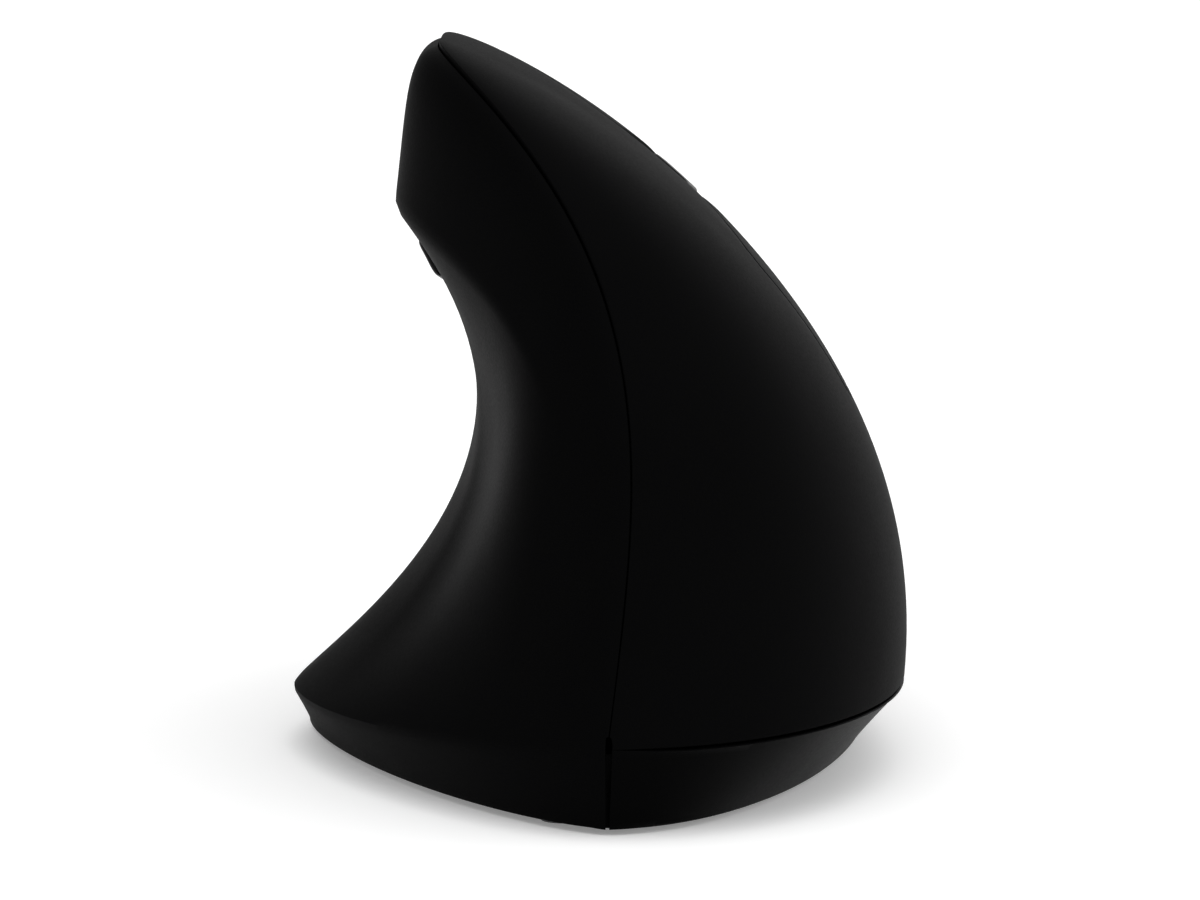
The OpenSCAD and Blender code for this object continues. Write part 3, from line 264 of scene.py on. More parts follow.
def panel(surface, outward, side, loops, spacing, edge, thick, through=None):
    """A closed plate of a thickness on a surface, inside the first loop and outside the others, with rounded edges.
    side is 1 where the surface's own two directions turn outwards, and -1 where they turn inwards.
    through is the way the thickness is measured, if not straight out of the surface."""
    through = through or outward
    inset, rims = [], []
    for k, loop in enumerate(loops):
        loop = np.asarray(loop, float)
        turn = np.sum(loop[:, 0] * np.roll(loop[:, 1], -1) - np.roll(loop[:, 0], -1) * loop[:, 1])
        loop = loop if (turn > 0) == (k == 0) else loop[::-1]
        at, out = surface(loop), outward(loop)
        into = unit(np.cross(side * out, unit(np.roll(at, -1, 0) - np.roll(at, 1, 0))))
        r = edge(loop) if callable(edge) else np.full(len(loop), edge)
        du, dv = slopes(surface, loop)
        uu, uv, vv, a, b = dot(du, du), dot(du, dv), dot(dv, dv), dot(du, into) * r, dot(dv, into) * r
        move = rows(a * vv - b * uv, b * uu - a * uv) / (uu * vv - uv * uv)[:, None]
        inset.append(loop + np.clip(move, -3 * r[:, None], 3 * r[:, None]))
        rims.append((at, out, into, r[:, None], through(loop)))
    ring = np.concatenate(inset)
    low, high = ring.min(0), ring.max(0)
    across, down = np.meshgrid(np.arange(low[0], high[0], spacing[0]), np.arange(low[1], high[1], spacing[1]))
    across[1::2] += spacing[0] / 2
    grid = rows(across.ravel(), down.ravel())
    grid = grid[inside(grid, inset)]
    clear = [np.min(dot((ring - p) / spacing, (ring - p) / spacing)) > 0.3 for p in grid]
    flat = np.concatenate([ring, grid[np.array(clear, bool)]])
    bars, first = [], 0
    for loop in inset:
        bars += [(first + i, first + (i + 1) % len(loop)) for i in range(len(loop))]
        first += len(loop)
    made = delaunay_2d_cdt([Vector(p) for p in flat], bars, [], 0, 1e-7)
    flat, tris = np.array([p[:] for p in made[0]]), np.array(made[2])
    tris = tris[inside(flat[tris].mean(1), inset)]
    place = {i: k for k, group in enumerate(made[3]) for i in group}
    n = len(flat)
    top = surface(flat)
    points, faces, count, first = [top, top - thick * through(flat)], [tris, tris[:, ::-1] + n], 2 * n, 0
    for at, out, into, r, wall_way in rims:
        m = len(at)
        chain = np.array([place[first + i] for i in range(m)])
        first += m
        above = chain
        bends = [(r * (1 - math.sin(a)), r * (1 - math.cos(a))) for a in (0.42, 0.84, 1.21, math.pi / 2)]
        for line in [at + into * back - out * drop for back, drop in bends] + [at - wall_way * thick]:
            points.append(line)
            here = count + np.arange(m)
            count += m
            faces.append(np.stack([np.roll(above, -1), above, here, np.roll(here, -1)], 1))
            above = here
        faces.append(np.stack([np.roll(above, -1), above, chain + n, np.roll(chain + n, -1)], 1))
    return np.concatenate(points), [f[::side] for group in faces for f in group.tolist()]


def turned(profile, foot, axis, closed=False, count=40):
    """A turned solid from (radius, height) steps; closed joins the last step to the first, as for a tube."""
    axis = unit(np.array(axis, float))
    side = unit(np.cross(axis, [0.3, 0.9, 0.1] if abs(axis[1]) < 0.9 else [1, 0, 0]))
    other = np.cross(axis, side)
    angles = np.arange(count) * 2 * math.pi / count
    circle = np.cos(angles)[:, None] * side + np.sin(angles)[:, None] * other
    points, rings = [], []
    for r, h in profile:
        start = sum(len(p) for p in points)
        points.append(np.asarray(foot, float) + h * axis + (r * circle if r > 1e-9 else np.zeros((1, 3))))
        rings.append(start + np.arange(count) if r > 1e-9 else np.full(count, start))
    faces = []
    for a, b in zip(rings, rings[1:] + rings[:1] if closed else rings[1:]):
        for i in range(count):
            j = (i + 1) % count
            face = list(dict.fromkeys([a[i], a[j], b[j], b[i]]))
            if len(face) > 2:
                faces.append([int(x) for x in face])
    return np.concatenate(points), faces


def tube(foot, axis, outer, inner, length, soften=0.25):
    return turned([(inner, 0), (outer - soften, 0), (outer, soften), (outer, length - soften), (outer - soften, length),
                   (inner, length)], foot, axis, closed=True)


def rod(foot, axis, radius, length, soften=0.25):
    return turned([(0, 0), (radius - soften, 0), (radius, soften), (radius, length - soften), (radius - soften, length),
                   (0, length)], foot, axis)


def block(low, high, soften=0.3, place=lambda p: p):
    """A box between two corners with broken edges, carried to its place."""
    low, high = np.minimum(low, high).astype(float), np.maximum(low, high).astype(float)
    solid = bmesh.new()
    for corner in np.ndindex(2, 2, 2):
        for k in range(3):
            p = np.where(corner, high - soften, low + soften)
            p[k] = high[k] if corner[k] else low[k]
            solid.verts.new(p)
    bmesh.ops.convex_hull(solid, input=solid.verts)
    bmesh.ops.recalc_face_normals(solid, faces=solid.faces)
    solid.verts.index_update()
    made = place(np.array([v.co[:] for v in solid.verts])), [[v.index for v in f.verts] for f in solid.faces]
    solid.free()
    return made


def open_box(low, high, thick):
    """A box open at the bottom, of four walls and a roof; low and high are the corners of its inside."""
    (x0, y0, z0), (x1, y1, z1) = low, high
    return [block((x0 - thick, y0 - thick, z0), (x0, y1 + thick, z1 + thick), 0.2),
            block((x1, y0 - thick, z0), (x1 + thick, y1 + thick, z1 + thick), 0.2),
            block((x0 - 0.1, y0 - thick, z0), (x1 + 0.1, y0, z1 + thick), 0.2),
            block((x0 - 0.1, y1, z0), (x1 + 0.1, y1 + thick, z1 + thick), 0.2),
            block((x0 - 0.1, y0 - 0.1, z1), (x1 + 0.1, y1 + 0.1, z1 + thick), 0.2)]


def rounded_box(x, y, w, l, r, count=6):
    """Outline of a rectangle with round corners about its middle."""
    turns = np.radians(np.linspace(0, 90, count))
    half_w, half_l = w / 2 - r, l / 2 - r
    corners = [(half_w, half_l, 0), (-half_w, half_l, 90), (-half_w, -half_l, 180), (half_w, -half_l, 270)]
    loop = np.concatenate([rows(cx + r * np.cos(turns + math.radians(a)), cy + r * np.sin(turns + math.radians(a)))
                           for cx, cy, a in corners])
    return respaced(loop + [x, y], 0.6)


def respaced(loop, step):
    """The same closed outline with points at even steps."""
    ends = np.concatenate([loop, loop[:1]])
    run = np.concatenate([[0], np.cumsum(np.linalg.norm(np.diff(ends, axis=0), axis=1))])
    at = np.linspace(0, run[-1], max(12, round(run[-1] / step)), endpoint=False)
    return rows(*[np.interp(at, run, ends[:, k]) for k in range(2)])


def frame_loop(low, high, steps_u, steps_v):
    """Outline of a rectangle of a surface's two directions, with even steps."""
    u, v = np.linspace(low[0], high[0], steps_u), np.linspace(low[1], high[1], steps_v)
    return np.concatenate([rows(u[:-1], low[1]), rows(high[0], v[:-1]),
                           rows(u[:0:-1], high[1]), rows(low[0], v[:0:-1])])


def piece(name, solids, finish, body, node):
    """One mesh of several closed solids in millimetres, riding on a body in place of its CAD node."""
    points, faces, count = [], [], 0
    for p, f in solids:
        points.append(p)
        faces += [[i + count for i in face] for face in f]
        count += len(p)
    mesh = bpy.data.meshes.new(name)
    mesh.from_pydata((np.concatenate(points) / 1000).tolist(), [], faces)
    mesh.update()
    mesh.shade_smooth()
    mesh.set_sharp_from_angle(angle=math.radians(40))
    mesh.materials.append(finish)
    made = bpy.data.objects.new(name, mesh)
    bpy.context.scene.collection.objects.link(made)
    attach(made, body)
    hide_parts(node)
    return made


def relief(tree, skin, strength, depth, height):
    """Fine relief of a depth in metres, from a pattern of heights."""
    bump = tree.node("ShaderNodeBump", values={"Strength": strength, "Distance": depth, "Height": height})
    tree.feed(skin.inputs["Normal"], bump)


def moulded(name, colour, rough, grain, depth, gloss, cloud=0.25):
    """Moulded plastic: a fine eroded grain of a size in millimetres, and a faint flow of tone and gloss."""
    made, tree, skin = new_finish(name)
    pits, flow = noise(tree, grain, 3.0), noise(tree, 14.0, 4.0)
    tone = 1 + cloud * (flow - 0.5) + cloud * (pits - 0.5)
    tree.feed(skin.inputs["Base Color"], (tone * 0.5).between((0, 0, 0), [2 * c for c in colour]))
    tree.feed(skin.inputs["Roughness"], rough + 0.12 * (flow - 0.5) + 0.2 * (pits - 0.5))
    relief(tree, skin, 0.35, depth, pits)
    skin.inputs["Specular IOR Level"].default_value = gloss
    return made


def dress(finish, *names):
    """Gives CAD nodes that stay as they are their finish."""
    for name in names:
        kept = frame["nodes"][name].data
        kept.materials.clear()
        kept.materials.append(finish)


base_black = moulded("base_black", (0.0008, 0.0008, 0.00085), 0.4, 0.3, 0.00003, 0.015)
sensor_place, slider_slot = (-4.2, 22.9), (-4.2, 34)
# The boxes and tubes stand 0.2 mm into the floor.
box_wall, floor_thick, stand_z = 1.2, 2.0, 2.4
bay_low, bay_high = (-10.3, -38.5, stand_z), (11.9, 7.7, 15.05)
pocket_low, pocket_high = (14.5, -13.3, stand_z), (20.7, 1.3, 19.6)
right_inset, left_inset = 0.5, 2.65
floor_stations = np.linspace(1, 179, 150)
floor_right, floor_left = base_right(floor_stations)[:, :2], base_left(floor_stations)[:, :2]
floor_right -= right_inset * unit(np.gradient(floor_right, axis=0))[:, ::-1] * [1, -1]
floor_left += left_inset * unit(np.gradient(floor_left, axis=0))[:, ::-1] * [1, -1]
floor_outline = np.concatenate([floor_right, floor_left[::-1]])


def curve(a, b, c, d, t):
    """A curve from a to d that leaves towards b and comes in from c."""
    return (1 - t) ** 3 * a + 3 * t * (1 - t) ** 2 * b + 3 * t * t * (1 - t) * c + t ** 3 * d


def palm(q):
    """Palm side, from the seam (0) down to the lower edge (palm_down)."""
    f, v = q[:, 0], q[:, 1:] / palm_down
    s, a, d = rise(f), seam(f), palm_foot(f)
    w, h = d[:, 0] - a[:, 0], a[:, 2] - d[:, 2]
    b = a + rows(w * (0.55 - 0.49 * s * s), 0, 0.2 * s * s)
    c = d + rows(4 * s, 0, 0.656 * h)
    return curve(a, b, c, d, v) + rows(seam_half_gap, 0, 0) * (1 - v) ** 2


def seam(f):
    """Line of the ridge where the two shells meet."""
    k = np.where(f <= 90, rise(f), rise(f) ** 1.4)
    lean = k ** 3.5
    return rows(end_x + 8.3 * (k - lean) - 17.1 * lean, station_y(f), shell_foot + 65.19 * k)


def station_at(y):
    """Station of a place along the mouse."""
    if y < ridge:
        return math.degrees(math.acos((ridge - y) / (ridge - rear)))
    return 180 - math.degrees(math.acos((y - ridge) / (front - ridge)))


post_r = 3


def palm_post(y, top):
    """Middle of a screw post that stands against the inside of the palm shell at a height."""
    side = palm(rows(station_at(y), np.linspace(0, palm_down, 400)))
    return float(np.interp(-top, -side[:, 2], side[:, 0])) - wall / 2 - post_r


def floor_hole(low, high):
    """Opening in the floor under a box."""
    return rounded_box((low[0] + high[0]) / 2, (low[1] + high[1]) / 2, high[0] - low[0], high[1] - low[1], 0.4)


palm_posts = [(palm_post(-24, 43), -24, 12, 43), (palm_post(27, 31), 27, 12, 31)]
thumb_posts = [(-15.5, -26, 8, 13.5), (-17, 2, 8, 13)]
screw_places = palm_posts + thumb_posts
board_posts = [(-9.5, 14.4), (2, 14.4), (2, 38.5)]
frame_posts = [(10.8, 17.5), (10.8, 28.9)]
floor_holes = [floor_hole(bay_low, bay_high), floor_hole(pocket_low, pocket_high),
               rounded_box(*sensor_place, 9, 9, 4.49), rounded_box(*slider_slot, 4, 8, 0.4)]
floor_holes += [rounded_box(p[0], p[1], 4.8, 4.8, 2.39) for p in screw_places]
up = (0, 0, 1)
tray = [panel(lambda q: rows(q[:, 0], q[:, 1], underside), lambda q: rows(0 * q[:, 0], 0, -1), -1,
              [respaced(floor_outline, 1.2)] + floor_holes, (4, 4), 0.2, floor_thick),
        panel(strip, strip_out, -1, [frame_loop((skin_start, 0), (skin_end, strip_down), 240, 13)], (1.2, 1.2),
              lambda q: 0.3 * np.clip(from_end(q[:, 0]) / 10, 0.08, 1), wall)]
tray += open_box(bay_low, bay_high, box_wall) + open_box(pocket_low, pocket_high, box_wall)
tray += [tube((p[0], p[1], stand_z), up, 3.5, 1.3, p[2] - stand_z) for p in screw_places]
tray += [tube((p[0], p[1], stand_z), up, 2, 0.75, 5.6) for p in board_posts]
tray += [tube((p[0], p[1], stand_z), up, 2.5, 0.75, 2.2) for p in frame_posts]
# A rib stands behind the joint of the shells at each end, and leans as the end does.
rib_y, rib_lean = 55.4, 0.357
tray += [block((-0.1, -0.5, underside), (2.0, 0.5, 8.4), 0.05,
               lambda p, end=end: p + rows(0, end * (rib_y + rib_lean * p[:, 2]), 0)) for end in (-1, 1)]
piece("base_tray_moulding", tray, base_black, "casing", "base_tray")


# Glide feet.
# Four thin slips of grey filled PTFE, stuck to the underside and worn to a soft sheen where they slide.
slip_grey, tree, skin = new_finish("slip_grey")
swirl = noise(tree, 2.5, 4.0, (1, 0.3, 1))
tree.feed(skin.inputs["Base Color"], swirl.steps((0.3, 0), (0.7, 1)).between((0.16, 0.16, 0.165), (0.24, 0.24, 0.245)))
tree.feed(skin.inputs["Roughness"], 0.3 + 0.25 * swirl)
relief(tree, skin, 0.2, 0.00002, noise(tree, 0.3))
dress(slip_grey, "glide_feet")


# Battery door, cells and contacts.
# The door is a moulded lid with its knuckle and pins in one piece, and it swings down under the base.
# The two AAA cells lie head to tail in printed film sleeves between sprung plates of nickelled steel.
dress(moulded("door_black", (0.0065, 0.0065, 0.007), 0.5, 0.35, 0.00004, 0.25), "battery_door")
cell_sleeve, tree, skin = new_finish("cell_sleeve")
bay_middle_x, bay_middle_y = 0.0008, -0.0154
band_start, cap_start, tail_end = -0.006, 0.0049, -0.0372
along, flip = place_along(tree, 1), place_along(tree, 0) > bay_middle_x
head = flip * (2 * bay_middle_y - along) + (1 - flip) * along
sleeve_top = head > band_start
metal = (head > cap_start) + ((tail_end - head) > 0)
scuff = noise(tree, 1.2, 5.0, (1, 0.25, 1))
printed = sleeve_top.between((0.012, 0.012, 0.014), (0.55, 0.22, 0.06))
tree.feed(skin.inputs["Base Color"], (metal > 0.5).between(printed, (0.62, 0.61, 0.58)))
tree.feed(skin.inputs["Metallic"], metal > 0.5)
tree.feed(skin.inputs["Roughness"], 0.22 + 0.3 * scuff)
dress(cell_sleeve, "battery_cells")


def brushed(name, colour, rough, stretch):
    """Drawn or pressed metal: fine streaks along its working direction, and a faint stain."""
    made, tree, skin = new_finish(name)
    streaks, stain = noise(tree, 0.25, 4.0, stretch), noise(tree, 3.0, 3.0)
    tree.feed(skin.inputs["Base Color"], stain.between([0.82 * c for c in colour], colour))
    tree.feed(skin.inputs["Roughness"], rough + 0.25 * (streaks - 0.5) + 0.1 * (stain - 0.5))
    relief(tree, skin, 0.15, 0.00001, streaks)
    skin.inputs["Metallic"].default_value = 1
    return made


dress(brushed("nickel_plate", (0.72, 0.7, 0.66), 0.3, (1, 1, 0.1)), "battery_contacts")


# Receiver.
# A short moulded cap on a folded plug of plated steel; it stands in its pocket and is drawn out downwards.
dress(moulded("cap_black", (0.005, 0.005, 0.0055), 0.35, 0.25, 0.00002, 0.3), "receiver_cap")
dress(brushed("plug_steel", (0.7, 0.7, 0.71), 0.25, (1, 1, 0.08)), "receiver_plug")


# Main board with its sensor, lens, light, power switch and slider.
# A glass-fibre board under green lacquer on three posts; the sensor looks through a clear moulded lens at the desk.
board_green, tree, skin = new_finish("board_green")
place = tree.node("ShaderNodeTexCoord", out="Object")
tracks = tree.node("ShaderNodeTexVoronoi", {"distance": "MANHATTAN", "feature": "F1"},
                   {"Vector": place, "Scale": 420.0})
pads = tree.node("ShaderNodeTexVoronoi", {"feature": "F1"}, {"Vector": place, "Scale": 330.0}) < 0.17
lines = tree.node("ShaderNodeMath", {"operation": "FRACT"}, {0: tracks * 9.0}) > 0.62
lacquer = lines.between((0.008, 0.055, 0.028), (0.014, 0.085, 0.04))
tree.feed(skin.inputs["Base Color"], pads.between(lacquer, (0.55, 0.53, 0.5)))
tree.feed(skin.inputs["Metallic"], pads * 0.9)
tree.feed(skin.inputs["Roughness"], 0.28 + 0.12 * noise(tree, 0.8))
relief(tree, skin, 0.3, 0.00003, lines)
dress(board_green, "main_board", "switch_board")
dress(moulded("chip_black", (0.012, 0.012, 0.013), 0.55, 0.12, 0.00002, 0.3), "optical_sensor")


def clear(name, colour, rough):
    """Clear or tinted moulding, with faint flow marks in its polish."""
    made, tree, skin = new_finish(name)
    marks = noise(tree, 1.5, 3.0)
    tree.feed(skin.inputs["Base Color"], marks.between([0.94 * c for c in colour], colour))
    tree.feed(skin.inputs["Roughness"], rough + 0.1 * marks)
    skin.inputs["Transmission Weight"].default_value = 0.85
    skin.inputs["IOR"].default_value = 1.58
    return made


dress(clear("lens_clear", (0.92, 0.95, 0.96), 0.03), "sensor_lens")
dress(clear("lamp_red", (0.8, 0.08, 0.06), 0.12), "sensor_light")
dress(brushed("switch_can", (0.66, 0.66, 0.66), 0.35, (1, 0.1, 1)), "power_switch")
dress(moulded("slider_grey", (0.03, 0.03, 0.032), 0.5, 0.3, 0.00004, 0.4), "power_slider")


# Inner frame, switch board parts and flat cable.
# The frame is a glass-filled nylon bracket screwed to the base; it holds the inclined board with the switches
# of the fingers, the thumb and the wheel, and a flat cable brings their lines down to the main board.
dress(moulded("frame_grey", (0.05, 0.05, 0.053), 0.6, 0.5, 0.00006, 0.4, 0.5), "inner_frame")
dress(moulded("switch_black", (0.012, 0.012, 0.013), 0.38, 0.2, 0.00002, 0.5), "index_switch", "middle_switch")
dress(moulded("key_switch_black", (0.02, 0.02, 0.021), 0.42, 0.25, 0.00002, 0.5),
      "speed_switch", "thumb_switches", "wheel_switch")
dress(clear("gate_red", (0.22, 0.02, 0.025), 0.15), "wheel_encoder")
cable_grey, tree, skin = new_finish("cable_grey")
wires_per_metre = 1570.0
wire = tree.node("ShaderNodeMath", {"operation": "FRACT"}, {0: place_along(tree, 0) * wires_per_metre})
# The ridge profile drives the real relief below. Its colour makes each wire's top lighter and the grooves between wires
# darker, which is painted shade in the grooves.
ridge_and_painted_shade = wire.steps((0, 0), (0.5, 1), (1, 0))
tree.feed(skin.inputs["Base Color"], ridge_and_painted_shade.between((0.42, 0.42, 0.4), (0.62, 0.62, 0.6)))
tree.feed(skin.inputs["Roughness"], 0.35 + 0.15 * noise(tree, 0.6))
relief(tree, skin, 0.5, 0.0001, ridge_and_painted_shade)
dress(cable_grey, "ribbon_cable")


# Scroll wheel.
# A hub of glossy ABS turns on a ground steel axle that lies in the slots of a black acetal cradle,
# and a ribbed tyre of soft rubber is moulded round the hub.
dress(moulded("cradle_black", (0.012, 0.012, 0.0125), 0.45, 0.4, 0.00003, 0.3, 0.1), "wheel_cradle")
dress(brushed("axle_steel", (0.62, 0.62, 0.63), 0.22, (1, 0.1, 1)), "wheel_axle")
dress(moulded("hub_black", (0.01, 0.01, 0.0105), 0.3, 0.25, 0.00002, 0.45), "scroll_wheel")

finger_seat = palm(np.array([[120.0, 40.0]]))[0]
finger_tilt, finger_droop = math.radians(48), math.radians(20)
slant = np.array([math.cos(finger_tilt), 0, -math.sin(finger_tilt)])
finger_x = math.cos(finger_droop) * slant - [0, math.sin(finger_droop), 0]
finger_y = math.sin(finger_droop) * slant + [0, math.cos(finger_droop), 0]
finger_z = np.array([math.sin(finger_tilt), 0, math.cos(finger_tilt)])
finger_axes = np.stack([finger_x, finger_y, finger_z])


def on_fingers(p):
    """From the frame of the finger face, with x across the fingers, y along them and z out of the face."""
    return finger_seat + np.asarray(p, float) @ finger_axes


def to_fingers(p):
    return (p - finger_seat) @ finger_axes.T


axle = 1000 * np.array(next(j["pos_m"] for j in frame["joints"] if j["name"] == "wheel_spin"))
tyre_r, tyre_in, tyre_half, rib_count, rib_depth = 8.28, 6.1, 2.88, 40, 0.45
steps_round = rib_count * 8
section = [(tyre_in, -tyre_half), (7.2, -tyre_half), (7.75, -2.6), (8.1, -2.1), (tyre_r, -1.4), (tyre_r, -0.5),
           (tyre_r, 0.5), (tyre_r, 1.4), (8.1, 2.1), (7.75, 2.6), (7.2, tyre_half), (tyre_in, tyre_half)]
angles = np.arange(steps_round) * 2 * math.pi / steps_round
groove = ease(-0.35, 0.35, np.cos(angles * rib_count))
tyre_points, tyre_faces = [], []
for r, h in section:
    deep = rib_depth * (1 - groove) * (r > 7.5)
    tyre_points.append(axle + h * finger_x + ((r - deep) * np.cos(angles))[:, None] * finger_y
                       + ((r - deep) * np.sin(angles))[:, None] * finger_z)
for k in range(len(section)):
    after = (k + 1) % len(section)
    for i in range(steps_round):
        j = (i + 1) % steps_round
        tyre_faces.append([k * steps_round + i, k * steps_round + j, after * steps_round + j, after * steps_round + i])
tyre_rubber = moulded("tyre_rubber", (0.008, 0.008, 0.008), 0.75, 0.2, 0.00003, 0.15, 0.4)
piece("ribbed_tyre", [(np.concatenate(tyre_points), tyre_faces)], tyre_rubber, "wheel", "wheel_tyre")


# Thumb shell.
# Left half of the casing, from the ridge over the lip and the thumb hollow to the flange and its lower wall,
# moulded in ABS with a soft-touch coat and screwed to the base from below through its two posts.
soft_black = moulded("soft_black", (0.0022, 0.0022, 0.0023), 0.5, 0.28, 0.00003, 0.006)
hollow_down, wall_down = 75, 8
lip_at, lip_reach, seam_step = 0.38, 4.4, 0.5


def flange_edge(f):
    y = station_y(f)
    k = swell(y, -5, 1.6, 1.4)
    return rows(end_x - 32.8 * k, y, shell_foot - 3 * k)


def hollow_form(f, u):
    """The thumb hollow alone, carried on smoothly past the lip."""
    s, a, d = rise(f), seam(f), flange_edge(f)
    drop = 0.7515 * (a[:, 2] - d[:, 2])
    lip = rows(a[:, 0] - lip_reach * s, a[:, 1], d[:, 2] + drop)
    return curve(lip, lip + drop[:, None] * [0.413, 0, -0.51], d + drop[:, None] * [0.12, 0, 0.119], d,
                 (u - lip_at) / (1 - lip_at))


def thumb_form(f, u):
    """Thumb side with crisp creases, from the seam (0) over the lip (lip_at) to the flange (1) and the base (2)."""
    s, a, d = rise(f), seam(f), flange_edge(f)
    w, h = a[:, 0] - d[:, 0], a[:, 2] - d[:, 2]
    plain = curve(a, a - rows(w * (0.55 - 0.30 * s), 0, 0), d + rows(0.42 * w * s, 0, 0.30 * h), d, u)
    lip = hollow_form(f, np.full_like(u, lip_at))
    brow = curve(a, a - rows(3.15 * s, 0, 1.05), lip + rows(1.35 * s, 0, 0.16 * h), lip, u / lip_at)
    turn = (ease(35, 85, f) * (1 - ease(136, 170, f)))[:, None]
    upper = (1 - turn) * plain + turn * np.where(u > lip_at, hollow_form(f, u), brow)
    upper -= [seam_half_gap, 0, 0] * (1 - u) ** 2
    upper += rows(0.23, 0, -seam_step * s * s) * np.maximum(0, 1 - u / 0.25) ** 2
    return np.where(u > 1, d + (base_left(f) - d) * (u - 1), upper)


def thumb_share(way):
    return np.where(way > hollow_down, 1 + (way - hollow_down) / wall_down, way / hollow_down)


def thumb(q):
    """Thumb side with rounded creases, hollow_down steps to the flange and wall_down more to the base."""
    f, way = q[:, 0], q[:, 1:]
    u = thumb_share(way)
    made = thumb_form(f, u)
    for crease, low, high in ((lip_at * hollow_down, 27.6, 29.4), (hollow_down, 74.3, 75.9)):
        near = (way > low) & (way < high)
        if near.any():
            a, b, c = [thumb_form(f, np.full_like(u, thumb_share(x))) for x in (low, crease, high)]
            t = (way - low) / (high - low)
            made = np.where(near, (1 - t) ** 2 * a + 2 * t * (1 - t) * b + t * t * c, made)
    return made


def facing(surface, side):
    """The way straight out of a surface."""
    def out(q):
        du, dv = slopes(surface, q)
        return side * unit(np.cross(du, dv))
    return out


def seam_out(f):
    along = seam(np.minimum(179.8, f + 2)) - seam(np.maximum(0.2, f - 2))
    return unit(rows(0, -along[:, 2], along[:, 1]))


def thumb_out(q):
    du, dv = slopes(thumb, q)
    wide = thumb(q + [0, 1.2]) - thumb(q - [0, 1.2])
    k = ease(0, 11, q[:, 1:])
    return to_ends(q[:, 0], unit((1 - k) * seam_out(q[:, 0]) + k * unit(np.cross(du, wide))))


def near_fingers(surface, flat, start):
    """Where a surface passes the places of the finger frame, by Newton steps along the surface."""
    q = np.tile(np.array(start, float), (len(flat), 1))
    for _ in range(40):
        miss = flat - to_fingers(surface(q))[:, :2]
        du, dv = [(d @ finger_axes.T)[:, :2] for d in slopes(surface, q)]
        det = du[:, 0] * dv[:, 1] - du[:, 1] * dv[:, 0]
        move = rows(miss[:, 0] * dv[:, 1] - miss[:, 1] * dv[:, 0], du[:, 0] * miss[:, 1] - du[:, 1] * miss[:, 0])
        q = q + np.clip(move / det[:, None], -4, 4)
    return q


def soft_ends(seam_radius, radius):
    """Edge radius of a shell along the seam and elsewhere, less towards its two ends where it runs out thin."""
    return lambda q: np.where(q[:, 1] < 0.5, seam_radius, radius) * np.clip(from_end(q[:, 0]) / 10, 0.05, 1)


def post(p):
    """Bored post for a case screw, from just over the tube of the base."""
    foot = p[2] + 2 * seam_half_gap
    return tube((p[0], p[1], foot), up, post_r, 1.1, p[3] - foot)


plate_gap, thumb_split = 0.4, 0.8
thumb_x, thumb_width, thumb_length, thumb_rear = -8.5, 5.0, 13.5, -24.5
thumb_front = thumb_rear + thumb_length + thumb_split
near_hollow = (115, 32)
thumb_opening = rounded_box(thumb_x, thumb_front - thumb_split / 2, thumb_width + 2 * plate_gap,
                            2 * thumb_length + thumb_split + 2 * plate_gap, 0.3)
thumb_outline = frame_loop((skin_start, 0), (skin_end, hollow_down + wall_down), 300, 96)
thumb_hole = near_fingers(thumb, thumb_opening, near_hollow)
thumb_skin = panel(thumb, thumb_out, 1, [thumb_outline, thumb_hole], (1.1, 0.9), soft_ends(0.15, 0.3), wall)
piece("thumb_shell_moulding", [thumb_skin] + [post(p) for p in thumb_posts], soft_black,
      "casing", "thumb_shell")


# Thumb buttons.
# Forward and back caps of glossier black ABS stand out of the hollow under the lip; each is held behind
# the wall by a tab at its outer end and presses a switch on the underside of the inclined board.
cap_gloss = moulded("cap_gloss", (0.001, 0.001, 0.00105), 0.3, 0.2, 0.00001, 0.06)


def hollow(q):
    u = q[:, 1:] / hollow_down
    return hollow_form(q[:, 0], u) - [seam_half_gap, 0, 0] * (1 - u) ** 2


hollow_out = facing(hollow, 1)
cap_proud, cap_thick = 2.2, 4.2
tab_out, tab_in, tab_sunk, tab_thick = 2.0, 2.5, 2.35, 0.8
stem_top = -18.7


def sunk(surface, out, depth):
    return lambda q: surface(q) - depth * out(q)


for name, body, rear_end, end in (("forward_button", "forward_key", thumb_front, 1),
                                  ("back_button", "back_key", thumb_rear, -1)):
    middle = rear_end + thumb_length / 2
    cap_loop = near_fingers(hollow, rounded_box(thumb_x, middle, thumb_width, thumb_length, 1.6), near_hollow)
    tab_middle = middle + end * (thumb_length / 2 + (tab_out - tab_in) / 2)
    tab_box = rounded_box(thumb_x, tab_middle, thumb_width - 2, tab_out + tab_in, 0.4)
    tab_loop = near_fingers(hollow, tab_box, near_hollow)
    stem_foot = to_fingers(hollow(near_fingers(hollow, np.array([[thumb_x, middle]]), near_hollow)))[0, 2] + 1
    solids = [panel(sunk(hollow, hollow_out, -cap_proud), hollow_out, 1, [cap_loop], (0.6, 0.6), 0.7, cap_thick),
              panel(sunk(hollow, hollow_out, tab_sunk), hollow_out, 1, [tab_loop], (0.8, 0.8), 0.15, tab_thick),
              rod(on_fingers((thumb_x, middle, stem_foot)), finger_z, 1.3, stem_top - stem_foot)]
    piece(name + "_cap", solids, cap_gloss, body, name)


# Palm shell.
# Right half of the casing, from the ridge down to the strip of the base, with the window of the click plates
# and the bored lugs of their pivots; coated like the thumb shell and held by two screws from below.
face_out = facing(palm, -1)


def palm_out(q):
    k = ease(0, 10, q[:, 1:])
    return to_ends(q[:, 0], unit((1 - k) * seam_out(q[:, 0]) + k * face_out(q)))


def palm_through(q):
    """The way through the shell's wall: straight out of it, but along the press of the plates round their window."""
    f, v = q[:, :1], q[:, 1:]
    k = ease(60, 82, f) * (1 - ease(150, 168, f)) * ease(2, 10, v) * (1 - ease(62, 76, v))
    return unit((1 - k) * palm_out(q) + k * finger_z)


